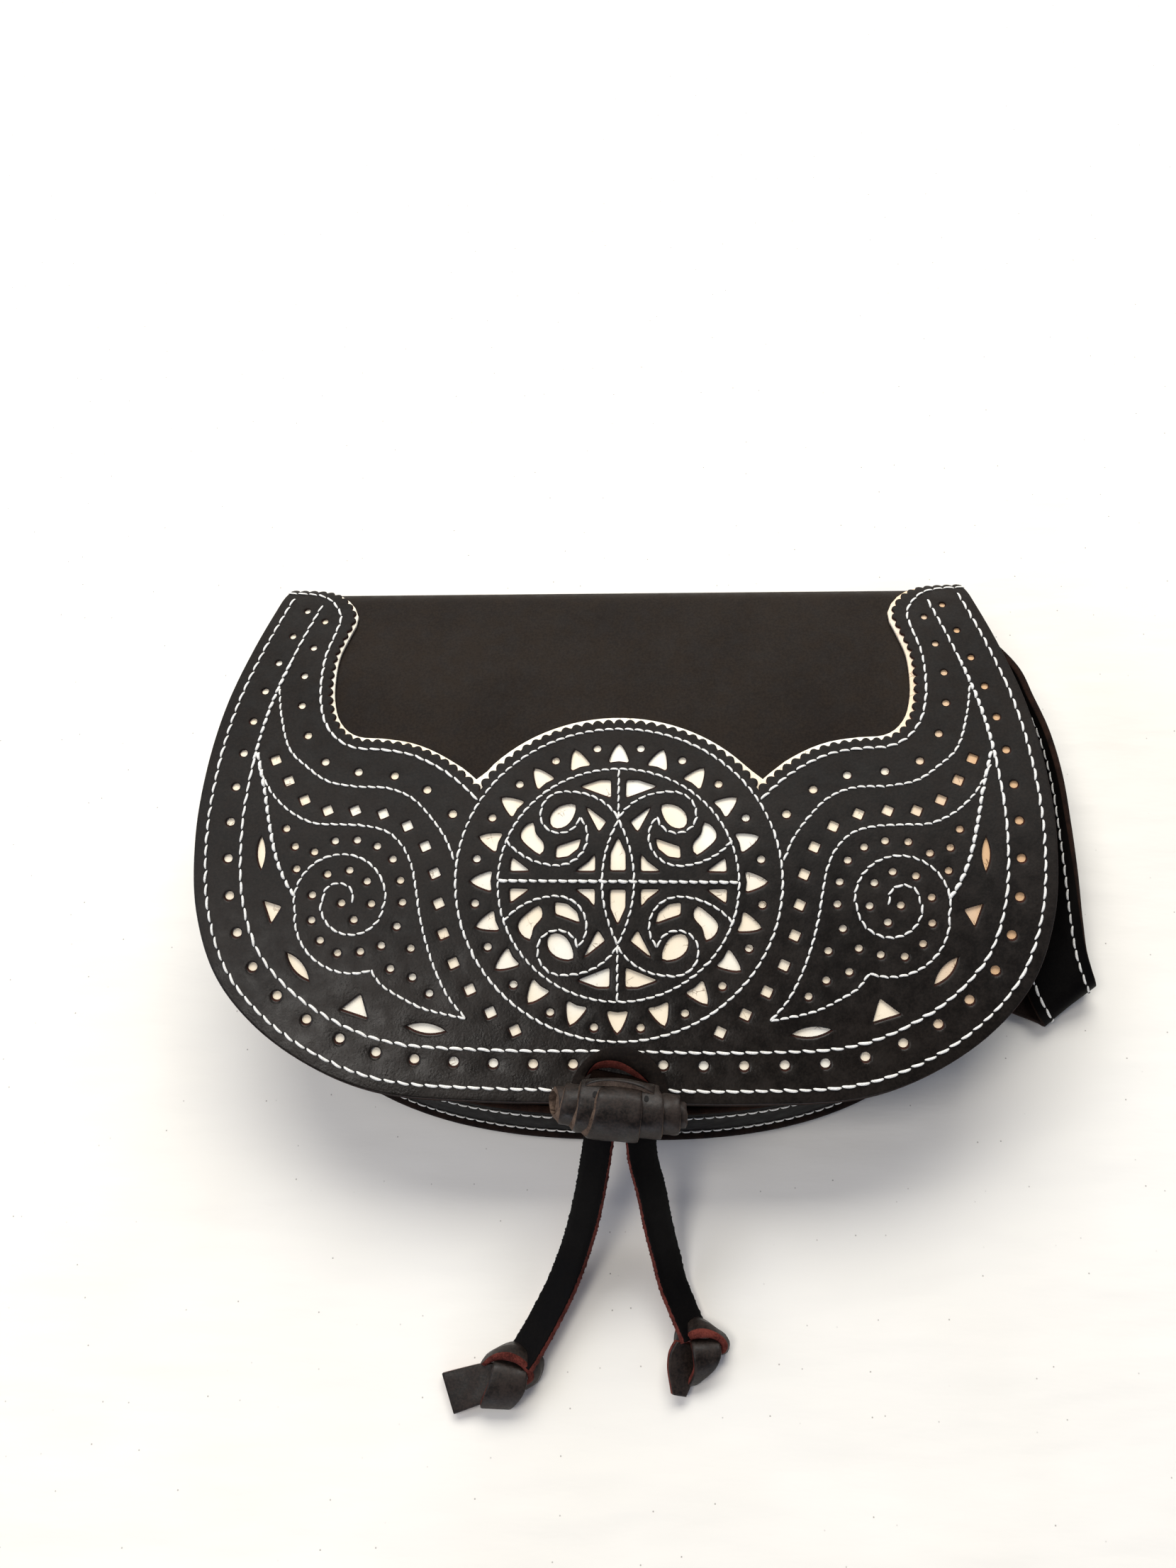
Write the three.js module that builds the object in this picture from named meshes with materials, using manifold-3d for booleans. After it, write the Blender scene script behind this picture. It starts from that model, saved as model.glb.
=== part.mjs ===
// Half-moon (saddle) shoulder bag in waxed leather, lying on its back with the flap closed.
// Millimetres, +Z up. The bag's top fold is towards +Y and its closure towards -Y.
//
// The flap and everything sewn on it are cut flat and then bent over one profile, as the real leather is:
// a flat point is (x, s, h), where x runs across the bag, s along the leather from the medallion's centre
// towards the top fold, and h is the height above the flap's outer face.

import * as THREE from 'three';
import Module from 'manifold-3d';
import { mergeVertices } from 'three/addons/utils/BufferGeometryUtils.js';
import { RoundedBoxGeometry } from 'three/addons/geometries/RoundedBoxGeometry.js';

const wasm = await Module();
wasm.setup();

// ---------- driving dimensions ----------

const GAP = 0.3; // between pieces that touch
const LEATHER = 2.5; // flap, back, front and gusset
const UNDERLAY = 0.9;
const OVERLAY = 1.7;
const PATCH = 2.2;
const STRAP = { width: 24, thick: 3 };
const THONG = { width: 10.5, thick: 2.2 };

const UNDERLAY_FROM = GAP; // heights above the flap's outer face
const OVERLAY_FROM = UNDERLAY_FROM + UNDERLAY + GAP;
const PATCH_FROM = OVERLAY_FROM + OVERLAY + GAP;

const FACE_HEIGHT = 43.8; // flap's outer face above the surface, at the medallion's centre
const BACK_HEIGHT = STRAP.thick + GAP; // the back's outer face rests on the strap's run
const FLAP_EDGE = -66.5; // s of the flap's free edge
const FACE_SLOPE = 7.8; // degrees, rising from the free edge
const FACE_RUNS = [ // along the flap from its free edge: length, and degrees that the leather turns down over it
  { run: 56.5, turn: 0 },
  { run: 35, turn: 8.6 },
  { run: 50, turn: 9 },
  { run: 31, turn: 4.4 },
];

const FLAP_OUTLINE = [ // half outline of the flap, from the middle of its free edge to the fold
  { x: 0, s: -66.4 },
  { x: 40, s: -66.4 },
  { x: 72, s: -64.3 },
  { x: 92, s: -57.6 },
  { x: 111.5, s: -45.3 },
  { x: 124.9, s: -29.2 },
  { x: 132.4, s: -9.5 },
  { x: 135.3, s: 14 },
  { x: 135, s: 38 },
  { x: 132.6, s: 62 },
  { x: 127.8, s: 86 },
  { x: 121.2, s: 110 },
];

const BODY = { half: 122, middle: 20, drop: 92.3, rise: 150, power: 2.5 }; // gusset's outer outline at its foot
const BACK_RIM = 2.4; // the back stands out past the gusset
const GUSSET = { lean: 3.4, end: 92, under: 1 }; // leans in, ends at this y, and clears the flap by 1 mm
const FRONT = { mouth: 84, recess: 1 };
const FOLD_CORNER = { x: 119.6, past: 24 }; // the leather's narrowest place, past the start of the fold

const MEDALLION = { s: 1.2, stitch: 51.2, ray: 43.1, rays: 20 }; // its centre, and the radii of its rim and its rays
const HORN_TOP = 113.5; // s of the horns' top stitch line
const CONTOUR = [ // stitch line that bounds the ornament, from a horn's inner top corner to the medallion
  { x: 106.5, s: 112.5 },
  { x: 100.5, s: 105 },
  { x: 98.7, s: 98.5 },
  { x: 101, s: 84 },
  { x: 101.3, s: 69 },
  { x: 97.9, s: 55.2 },
  { x: 90, s: 46.8 },
  { x: 78, s: 45.1 },
  { x: 66, s: 42.4 },
  { x: 54, s: 35.2 },
];
const OVERLAY_PAST = 2.9; // the overlay's edge past the contour stitch line
const UNDERLAY_PAST = 4.6;
const CONTOUR_ARC = [29.5, 150.5]; // degrees of the medallion's free top edge
const CUT = 13; // spacing of the points along cut edges
const CREASES = [-3, 18, 44, 72]; // s where the flap's face is creased
const FOLD_CREASES = 9;

const WINDOWS = { // cut-outs of a quarter of the medallion, mirrored both ways
  crown: [[11.7, 31.3], [6.1, 33.3], [2.8, 33.3], [2.7, 27.7]],
  teardrop: [[21.3, 18.5], [21, 21.8], [18.3, 24.3], [14.1, 24.7], [15, 20.1], [17.3, 17.6]],
  shoulder: [[9.9, 23.7], [4.2, 19.1], [6.1, 16.2]],
  leaf: [[27.4, 18.6], [26.5, 15.2], [23.8, 11.5], [24.5, 8.5], [26.9, 9.9], [30.6, 13.9], [29.9, 16.8]],
  wing: [[19.1, 10.7], [15.6, 11.9], [12.1, 13.2], [12.9, 10.3], [15.9, 7.8], [19.3, 7.3]],
  rim: [[33.3, 6.9], [28.3, 3.1], [33.6, 3]],
  heel: [[12.6, 3.1], [8.9, 5.9], [7.5, 7.8], [7.5, 3.1]],
};
const PETAL = [[0, 13.6], [2.1, 8.8], [2.2, 3.2], [-2.2, 3.2], [-2.1, 8.8]]; // on the medallion's upright axis
const RAY = { length: 7, width: 6.4 };
const RAY_PROFILE = [[0, 0.5], [0.5, -0.05], [0.3, -0.45], [-0.3, -0.45], [-0.5, -0.05]]; // across, and outwards
const TRIANGLES = [ // cut-outs beside the medallion, mirrored across the bag
  [[111, -6.6], [106.2, -8.1], [108.6, -12.6]],
  [[84.3, -39], [79.2, -35.7], [77.3, -41.5]],
];
const ALMONDS = [ // from point to point, and how wide
  { from: [114.3, 14.7], to: [113.6, 4.2], width: 2.4 },
  { from: [103.3, -22.2], to: [95.6, -30.9], width: 3 },
  { from: [64.7, -44.3], to: [52.2, -45.8], width: 3.1 },
];

const PATCH_DISC = { s: -64.6, radius: 15 };
const SLIT = { outer: 10.6, drop: 3.6, reach: 62 }; // crescent: its upper arc, its depth, and half its angle

const TOGGLE = { x: 0.5, y: -68.5, z: 50.4, tilt: -4 }; // degrees, the right end nearer
const TOGGLE_STEPS = [ // the stepped roll, from its left tip: x and radius
  { x: -21.5, r: 3.9 },
  { x: -19.2, r: 4.2 },
  { x: -19.2, r: 5.9 },
  { x: -13.2, r: 5.9 },
  { x: -13.2, r: 7.4 },
  { x: 12.6, r: 7.4 },
  { x: 12.6, r: 5.9 },
  { x: 18.6, r: 5.9 },
  { x: 18.6, r: 4.2 },
  { x: 21, r: 3.9 },
];
const TOGGLE_BAND = { from: -7.4, to: 5.6, thick: 1.8 };

const THONG_ROLL = 20; // degrees that each thong is turned, its inner edge up
const THONG_LEFT = [ // middle of the left thong, from under the toggle to its knot
  { x: -5.6, y: -67.4, z: 39 },
  { x: -6, y: -74, z: 37 },
  { x: -7.2, y: -81, z: 32.5 },
  { x: -9.2, y: -90, z: 25.5 },
  { x: -11.8, y: -100, z: 16.8 },
  { x: -14.9, y: -109, z: 9.6 },
  { x: -18.6, y: -118, z: 4.9 },
  { x: -22.9, y: -126.5, z: 3.2 },
  { x: -26, y: -132.1, z: 3 },
];
const THONG_RIGHT = [
  { x: 7.2, y: -67.4, z: 39 },
  { x: 7.4, y: -74, z: 37 },
  { x: 7.9, y: -81, z: 32.5 },
  { x: 9.2, y: -90, z: 25.5 },
  { x: 10.9, y: -99.5, z: 16.8 },
  { x: 13.6, y: -108, z: 9.6 },
  { x: 16.9, y: -116, z: 4.9 },
  { x: 20.3, y: -123.6, z: 3.2 },
];
const KNOTS = [
  { side: 'left', x: -31.6, y: -142.8, turn: 12, end: { x: -47, y: -146.6, turn: 18 } },
  { side: 'right', x: 25, y: -134.6, turn: -8, end: { x: 17.4, y: -147, turn: 82 } },
];
const KNOT = { across: 18.4, along: 18.6, thick: 8.6, soften: 3.4 };
const KNOT_END = { long: 16, wide: 11.4, thick: 2.2, up: 1.5 };

const STRAP_TAB = { long: 30, end: 80 }; // length sewn on the right gusset, and the y where it leaves it
const STRAP_TURN = { x: 126.2, y: 86, radius: 6.2, sweep: 137 }; // the strap's turn beside the top fold
const STRAP_LOW = 4.4; // lower edge of the strap where it stands on edge, above the surface
const STRAP_SIDE = [ // the strap down the right side: its upper edge and its lower edge
  { top: [136.6, 81.8, 28.6], low: [135.6, 81.8, 4.8] },
  { top: [140, 72, 28.2], low: [137.6, 72, 4.3] },
  { top: [144.2, 60, 27.2], low: [139.6, 60, 3.6] },
  { top: [147.3, 45, 25.6], low: [140, 45, 2.8] },
  { top: [148.9, 28, 23.4], low: [138.8, 28, 1.8] },
  { top: [150.2, 12, 20.6], low: [135.6, 12, 1.8] },
  { top: [151.4, -3, 16.8], low: [132.6, -3.6, 3.4] },
  { top: [152.6, -12.6, 13.6], low: [132.2, -15, 5.2] },
  { top: [154, -18.8, 11.8], low: [134.4, -25.8, 5.4] },
  { top: [155.2, -22, 9.8], low: [136.6, -32.2, 5.2] },
  { top: [155.9, -22.3, 6.6], low: [138.5, -35, 3.9] },
  { top: [154.8, -19.4, 3.1], low: [138.9, -35.4, 2.3] },
  { top: [148.9, -14.4, 1.5], low: [137.3, -34.4, 1.5] },
];
const STRAP_UNDER = { heading: 158.8, long: 268 }; // the run under the bag: degrees from +X, and length
const STRAP_BOW = 0.8; // the gusset bows out this much over the strap's width
const STRAP_RISE = [ // the strap round the back's left edge and up the gusset: x outside, and height
  { x: -120.6, z: 1.5 },
  { x: -123.8, z: 2.2 },
  { x: -125.2, z: 5 },
  { x: -124.4, z: 8.4 },
  { x: -121.2, z: 12.4 },
];

const COLOURS = {
  leather: { color: 0x2a2521, roughness: 0.55 },
  cream: { color: 0xf3dcb4, roughness: 0.8 },
  strap: { color: 0x17130f, roughness: 0.5 },
  toggle: { color: 0x4b413c, roughness: 0.7 },
};

// ---------- small helpers ----------

const rad = THREE.MathUtils.degToRad;

/** The named pieces of this bag, each one closed solid. */
const bag = new THREE.Group();

function addPiece(name, geometry, look) {
  const material = new THREE.MeshStandardMaterial({ ...COLOURS[look], metalness: 0 });
  const mesh = new THREE.Mesh(geometry, material);
  mesh.name = name;
  bag.add(mesh);
  return mesh;
}

/** A smooth line through [x, s] points, sampled every step mm. */
function smooth(points, step) {
  const curve = new THREE.CatmullRomCurve3(points.map(([x, s]) => new THREE.Vector3(x, s, 0)), false, 'centripetal');
  const count = Math.max(2, Math.round(curve.getLength() / step));
  return curve.getSpacedPoints(count).map((p) => [p.x, p.y]);
}

const mirrored = (points) => points.map(([x, s]) => [-x, s]).reverse();
const asPairs = (rows) => rows.map((row) => [row.x, row.s]);

/** A line of [x, s] points moved sideways, to its left for a positive distance. */
function offset(points, distance) {
  return points.map((p, i) => {
    const before = points[Math.max(0, i - 1)];
    const after = points[Math.min(points.length - 1, i + 1)];
    const dx = after[0] - before[0];
    const ds = after[1] - before[1];
    const length = Math.hypot(dx, ds);
    return [p[0] - (distance * ds) / length, p[1] + (distance * dx) / length];
  });
}

/** A closed solid of manifold-3d from a geometry, and back. */
function toSolid(geometry) {
  const plain = geometry.clone();
  plain.deleteAttribute('normal');
  plain.deleteAttribute('uv');
  const merged = mergeVertices(plain, 1e-4);
  return new wasm.Manifold(new wasm.Mesh({
    numProp: 3,
    vertProperties: new Float32Array(merged.attributes.position.array),
    triVerts: new Uint32Array(merged.index.array),
  }));
}

function toGeometry(solid) {
  const mesh = solid.getMesh();
  const geometry = new THREE.BufferGeometry();
  geometry.setAttribute('position', new THREE.BufferAttribute(mesh.vertProperties, 3));
  geometry.setIndex(new THREE.BufferAttribute(mesh.triVerts, 1));
  geometry.computeVertexNormals();
  return geometry;
}

/** A closed skin over rings of the same number of points, with a flat end at the first and last ring. */
function skin(rings) {
  const size = rings[0].length;
  const index = [];
  for (let i = 0; i + 1 < rings.length; i += 1) {
    for (let j = 0; j < size; j += 1) {
      const a = i * size + j;
      const b = i * size + ((j + 1) % size);
      index.push(a, b, b + size, a, b + size, a + size);
    }
  }
  const last = (rings.length - 1) * size;
  for (let j = 1; j + 1 < size; j += 1) {
    index.push(0, j + 1, j);
    index.push(last, last + j, last + j + 1);
  }
  const geometry = new THREE.BufferGeometry();
  const flat = rings.flat().flatMap((p) => [p.x, p.y, p.z]);
  geometry.setAttribute('position', new THREE.Float32BufferAttribute(flat, 3));
  geometry.setIndex(index);
  geometry.computeVertexNormals();
  return geometry;
}

// ---------- the bent profile ----------

/** The leather's outer face from the flap's free edge over the fold to the back, as arcs and straights. */
function makeProfile() {
  const parts = [];
  const slope = rad(FACE_SLOPE);
  let here = {
    s: FLAP_EDGE,
    y: FLAP_EDGE * Math.cos(slope),
    z: FACE_HEIGHT + FLAP_EDGE * Math.sin(slope),
    angle: slope,
  };
  const advance = (run, turn) => {
    const part = { ...here, bend: -turn / run };
    parts.push(part);
    here = { ...pointOn(part, here.s + run), s: here.s + run };
  };
  FACE_RUNS.forEach(({ run, turn }) => advance(run, rad(turn)));
  const radius = (here.z - BACK_HEIGHT) / (1 + Math.cos(here.angle));
  const foldTurn = Math.PI + here.angle;
  const fold = { from: here.s, to: here.s + radius * foldTurn };
  advance(radius * foldTurn, foldTurn);
  const backStart = here.y;
  advance(BODY.drop * 2, 0);
  return { parts, fold, backStart };
}

/** Place and direction of the profile at s, on a part with a constant bend. */
function pointOn(part, s) {
  const along = s - part.s;
  const angle = part.angle + part.bend * along;
  if (part.bend === 0) {
    return { y: part.y + along * Math.cos(angle), z: part.z + along * Math.sin(angle), angle };
  }
  return {
    y: part.y + (Math.sin(angle) - Math.sin(part.angle)) / part.bend,
    z: part.z - (Math.cos(angle) - Math.cos(part.angle)) / part.bend,
    angle,
  };
}

const PROFILE = makeProfile();

/** The point h above the leather's outer face, at x and s. */
function bent(x, s, h) {
  const part = PROFILE.parts.findLast((p) => p.s <= s) ?? PROFILE.parts[0];
  const { y, z, angle } = pointOn(part, s);
  return new THREE.Vector3(x, y - h * Math.sin(angle), z + h * Math.cos(angle));
}

/** Height of the flap's outer face over a y of the plan, found by halving. */
function faceHeight(y) {
  let low = FLAP_EDGE;
  let high = PROFILE.fold.from;
  for (let i = 0; i < 30; i += 1) {
    const s = (low + high) / 2;
    if (bent(0, s, 0).y < y) low = s;
    else high = s;
  }
  return bent(0, (low + high) / 2, 0).z;
}

/** Values of s where flat leather is creased so that it follows the profile. */
function creases() {
  const { from, to } = PROFILE.fold;
  const fold = Array.from({ length: FOLD_CREASES + 1 }, (_, i) => from + ((to - from) * i) / FOLD_CREASES);
  return [...CREASES, ...fold];
}

/** Cuts every triangle that a line of constant s crosses, so that it can bend there. */
function cutAt(triangles, s) {
  const cross = (a, b) => a.clone().lerp(b, (s - a.y) / (b.y - a.y)).setY(s);
  return triangles.flatMap((triangle) => {
    const side = triangle.map((p) => (Math.abs(p.y - s) < 1e-4 ? 0 : Math.sign(p.y - s)));
    if (!(side.includes(1) && side.includes(-1))) return [triangle];
    const lone = side.includes(0)
      ? side.indexOf(0)
      : side.findIndex((value) => side.filter((other) => other === value).length === 1);
    const [a, b, c] = [0, 1, 2].map((i) => triangle[(lone + i) % 3]);
    if (side.includes(0)) {
      const m = b.y < c.y ? cross(b, c) : cross(c, b);
      return [[a, b, m], [a, m, c]];
    }
    const m = a.y < b.y ? cross(a, b) : cross(b, a);
    const n = a.y < c.y ? cross(a, c) : cross(c, a);
    return [[a, m, n], [m, b, c], [m, c, n]];
  });
}

/** A flat sheet cut to an outline, from height low to high. */
function sheet(outline, low, high) {
  const shape = new THREE.Shape(outline.map(([x, s]) => new THREE.Vector2(x, s)));
  return toSolid(new THREE.ExtrudeGeometry(shape, { depth: high - low, bevelEnabled: false }).translate(0, 0, low));
}

/** Leather cut flat to an outline with holes, from height low to high, and bent over the profile. */
function bentLeather(outline, holes, low, high) {
  let flat = sheet(outline, low, high);
  holes.forEach((hole) => {
    flat = flat.subtract(sheet(hole, low - 1, high + 1));
  });
  const p = toGeometry(flat).toNonIndexed().attributes.position;
  let triangles = [];
  for (let i = 0; i < p.count; i += 3) {
    triangles.push([0, 1, 2].map((k) => new THREE.Vector3().fromBufferAttribute(p, i + k)));
  }
  creases().forEach((s) => {
    triangles = cutAt(triangles, s);
  });
  const points = triangles.flat().map((v) => bent(v.x, v.y, v.z));
  const geometry = new THREE.BufferGeometry().setFromPoints(points);
  const merged = mergeVertices(geometry, 1e-4);
  merged.computeVertexNormals();
  return merged;
}

// ---------- outlines ----------

/** x of the body's outline at y, for an outline stood out by grow. */
function bodyHalf(y, grow) {
  const reach = (y > BODY.middle ? BODY.rise : BODY.drop) + grow;
  const share = Math.min(1, Math.abs(y - BODY.middle) / reach);
  return (BODY.half + grow) * (1 - share ** BODY.power) ** (1 / BODY.power);
}

/** Half of the body's outline from its bottom middle up to a y, stood out by grow. */
function bodyOutline(grow, top, count) {
  const foot = BODY.middle - BODY.drop - grow;
  const power = 2 / BODY.power;
  const lower = Array.from({ length: count + 1 }, (_, i) => {
    const angle = (Math.PI / 2) * (i / count);
    const across = Math.sin(angle) ** power;
    const down = Math.cos(angle) ** power;
    return [(BODY.half + grow) * across, BODY.middle + (foot - BODY.middle) * down];
  });
  const steps = 5;
  const upper = Array.from({ length: steps }, (_, i) => {
    const y = BODY.middle + ((top - BODY.middle) * (i + 1)) / steps;
    return [bodyHalf(y, grow), y];
  });
  return [...lower, ...upper];
}

/** Right half of the flap's edge from the middle of its free edge up to the fold, moved in by inset. */
function flapEdge(inset, step) {
  return offset(smooth(asPairs(FLAP_OUTLINE), step), inset);
}

/** The ornament's upper contour from right to left, moved past its stitch line towards the plain leather. */
function ornamentTop(past, step) {
  const right = offset(smooth(asPairs(CONTOUR), step), -past);
  const [from, to] = CONTOUR_ARC;
  const arcs = Math.round((rad(to - from) * MEDALLION.stitch) / step);
  const arc = Array.from({ length: arcs + 1 }, (_, i) => {
    const angle = rad(from + ((to - from) * i) / arcs);
    const radius = MEDALLION.stitch + past;
    return [radius * Math.cos(angle), MEDALLION.s + radius * Math.sin(angle)];
  });
  return [...right, ...arc, ...mirrored(right)];
}

/** The ornament's whole outline: the flap's edge, the horns and the contour between them. */
function ornamentOutline(inset, past, step) {
  const top = HORN_TOP + past;
  const side = flapEdge(inset, step).filter(([, s]) => s < HORN_TOP - step);
  const corner = [FLAP_OUTLINE.at(-1).x - inset - 1, top];
  const contour = ornamentTop(past, step);
  contour[0] = [contour[0][0], top];
  contour[contour.length - 1] = [-contour[0][0], top];
  return [...mirrored(side).slice(0, -1), ...side, corner, ...contour, [-corner[0], top]];
}

/** A pointed oval between two points. */
function almond({ from, to, width }) {
  const steps = 3;
  const [dx, ds] = [to[0] - from[0], to[1] - from[1]];
  const length = Math.hypot(dx, ds);
  const bulge = (t) => (width / 2) * Math.sin(Math.PI * t);
  const side = (sign) => Array.from({ length: steps }, (_, i) => {
    const t = i / steps;
    const at = sign > 0 ? t : 1 - t;
    const out = sign * bulge(at);
    return [from[0] + dx * at - (ds / length) * out, from[1] + ds * at + (dx / length) * out];
  });
  return [...side(1), ...side(-1)];
}

/** The ray-shaped cut-outs round the medallion, each with a round foot and a point outwards. */
function rays() {
  const { length, width } = RAY;
  return Array.from({ length: MEDALLION.rays }, (_, i) => {
    const angle = (i * 2 * Math.PI) / MEDALLION.rays;
    return RAY_PROFILE.map(([across, out]) => {
      const r = MEDALLION.ray + out * length;
      const a = across * width;
      return [r * Math.sin(angle) + a * Math.cos(angle), r * Math.cos(angle) - a * Math.sin(angle)];
    });
  });
}

function cutOuts() {
  const flipS = (points) => points.map(([x, s]) => [x, -s]).reverse();
  const toMedallion = (points) => points.map(([x, s]) => [x, s + MEDALLION.s]);
  const quarter = Object.values(WINDOWS);
  const windows = [...quarter, ...quarter.map(flipS)];
  const middle = [...windows, ...windows.map(mirrored), PETAL, flipS(PETAL), ...rays()].map(toMedallion);
  const wings = [...TRIANGLES, ...ALMONDS.map(almond)];
  return [...middle, ...wings, ...wings.map(mirrored)];
}

// ---------- the leather pieces ----------

function backAndFlap() {
  const side = flapEdge(0, CUT);
  const backS = (y) => PROFILE.fold.to + (PROFILE.backStart - y);
  const back = bodyOutline(BACK_RIM, PROFILE.backStart - 4, 12).reverse().map(([x, y]) => [x, backS(y)]);
  const half = [...side, [FOLD_CORNER.x, PROFILE.fold.from + FOLD_CORNER.past], ...back];
  return bentLeather([...mirrored(half).slice(1, -1), ...half], [], -LEATHER, 0);
}

function flapUnderlay() {
  return bentLeather(ornamentOutline(0.8, UNDERLAY_PAST, CUT), [], UNDERLAY_FROM, UNDERLAY_FROM + UNDERLAY);
}

function flapOverlay() {
  return bentLeather(ornamentOutline(0.4, OVERLAY_PAST, CUT), cutOuts(), OVERLAY_FROM, OVERLAY_FROM + OVERLAY);
}

/** The front wall: inside the gusset's rim, bent as the flap is. */
function frontPanel() {
  const grow = -(GUSSET.lean + LEATHER + GAP);
  const half = bodyOutline(grow, FRONT.mouth, 12);
  const top = -(LEATHER + GUSSET.under + FRONT.recess);
  return bentLeather([...mirrored(half).slice(0, -1), ...half], [], top - LEATHER, top);
}

/** The strip between back and front: an upright wall that leans in, open at the top fold. */
function gusset() {
  const foot = BACK_HEIGHT + LEATHER + GAP;
  const outer = bodyOutline(0, GUSSET.end, 16);
  const whole = [...mirrored(outer).slice(0, -1), ...outer];
  const inner = offset(whole, LEATHER);
  const rings = whole.map(([x, y], i) => {
    const rim = faceHeight(y) - LEATHER - GUSSET.under;
    const [nx, ny] = [(inner[i][0] - x) / LEATHER, (inner[i][1] - y) / LEATHER];
    const at = ([px, py], z) => {
      const lean = (GUSSET.lean * (z - foot)) / (rim - foot);
      return new THREE.Vector3(px + nx * lean, py + ny * lean, z);
    };
    return [at([x, y], foot), at(inner[i], foot), at(inner[i], rim), at([x, y], rim)];
  });
  return skin(rings);
}

/** The half-round patch with its arc slit, flush with the flap's edge. */
function closurePatch() {
  const { s, radius } = PATCH_DISC;
  const arc = (r, from, to, steps, centre) => Array.from({ length: steps + 1 }, (_, i) => {
    const angle = rad(from + ((to - from) * i) / steps);
    return [r * Math.cos(angle), centre + r * Math.sin(angle)];
  });
  const outline = [...arc(radius, 0, 180, 16, s), [-radius, FLAP_EDGE + 0.6], [radius, FLAP_EDGE + 0.6]];
  const upper = arc(SLIT.outer, 90 - SLIT.reach, 90 + SLIT.reach, 8, s);
  const lower = arc(SLIT.outer, 90 + SLIT.reach, 90 - SLIT.reach, 8, s).slice(1, -1)
    .map(([x, y]) => [x * 0.96, s + (y - s) - SLIT.drop * Math.cos((x / SLIT.outer) * (Math.PI / 2))]);
  return bentLeather(outline, [[...upper, ...lower]], PATCH_FROM, PATCH_FROM + PATCH);
}

// ---------- the toggle ----------

function toggle() {
  const profile = [
    new THREE.Vector2(0, TOGGLE_STEPS[0].x),
    ...TOGGLE_STEPS.map(({ x, r }) => new THREE.Vector2(r, x)),
    new THREE.Vector2(0, TOGGLE_STEPS.at(-1).x),
  ];
  const { from, to, thick } = TOGGLE_BAND;
  const inside = Math.max(...TOGGLE_STEPS.map(({ r }) => r)) + GAP;
  const ring = [[inside, from], [inside + thick, from], [inside + thick, to], [inside, to], [inside, from]];
  const band = new THREE.LatheGeometry(ring.map(([r, x]) => new THREE.Vector2(r, x)), 32);
  [
    ['toggle_roll', new THREE.LatheGeometry(profile, 28)],
    ['toggle_band', band],
  ].forEach(([name, geometry]) => {
    const mesh = addPiece(name, geometry, 'toggle');
    mesh.rotation.set(0, 0, rad(TOGGLE.tilt - 90));
    mesh.position.set(TOGGLE.x, TOGGLE.y, TOGGLE.z);
  });
}

// ---------- thongs, knots and strap: flat leather strips ----------

/** A flat strip over rows of two edge points, with its thickness square to the strip. */
function strip(rows, thick) {
  const rings = rows.map(([a, b], i) => {
    const [a0, b0] = rows[Math.max(0, i - 1)];
    const [a1, b1] = rows[Math.min(rows.length - 1, i + 1)];
    const along = a1.clone().add(b1).sub(a0).sub(b0);
    const across = b.clone().sub(a);
    const normal = along.cross(across).normalize().multiplyScalar(thick / 2);
    return [
      a.clone().sub(normal), b.clone().sub(normal),
      b.clone().add(normal), a.clone().add(normal),
    ];
  });
  return skin(rings);
}

/** A thong: a strip along a smooth line, rolled a little about its own length. */
function thong(points, roll) {
  const curve = new THREE.CatmullRomCurve3(points.map(({ x, y, z }) => new THREE.Vector3(x, y, z)), false, 'centripetal');
  const count = 22;
  const rows = curve.getSpacedPoints(count).map((p, i) => {
    const t = curve.getTangentAt(i / count);
    const level = new THREE.Vector3(-t.y, t.x, 0).normalize();
    const settle = Math.min(1, i / 8);
    const across = level.applyAxisAngle(t, rad(roll * settle)).multiplyScalar(THONG.width / 2);
    return [p.clone().sub(across), p.clone().add(across)];
  });
  return strip(rows, THONG.thick);
}

/** A knot: a soft square cushion of the strip's turns, with the free end coming out of it. */
function knot({ x, y, turn, end }) {
  const { across, along, thick, soften } = KNOT;
  const body = new RoundedBoxGeometry(across, along, thick, 3, soften);
  body.rotateZ(rad(turn)).translate(x, y, thick / 2);
  const tip = new THREE.BoxGeometry(KNOT_END.long, KNOT_END.wide, KNOT_END.thick);
  tip.rotateZ(rad(end.turn)).translate(end.x, end.y, KNOT_END.up + KNOT_END.thick / 2);
  return toGeometry(toSolid(body).add(toSolid(tip)));
}

const vector = ([x, y, z]) => new THREE.Vector3(x, y, z);

/** x of the strap's middle where it lies on the gusset's outer face, at y and height z. */
function onGusset(y, z) {
  const foot = BACK_HEIGHT + LEATHER + GAP;
  const rim = faceHeight(y) - LEATHER - GUSSET.under;
  return bodyHalf(y, 0) - (GUSSET.lean * (z - foot)) / (rim - foot) + GAP * 1.2 + STRAP.thick / 2;
}

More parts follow.
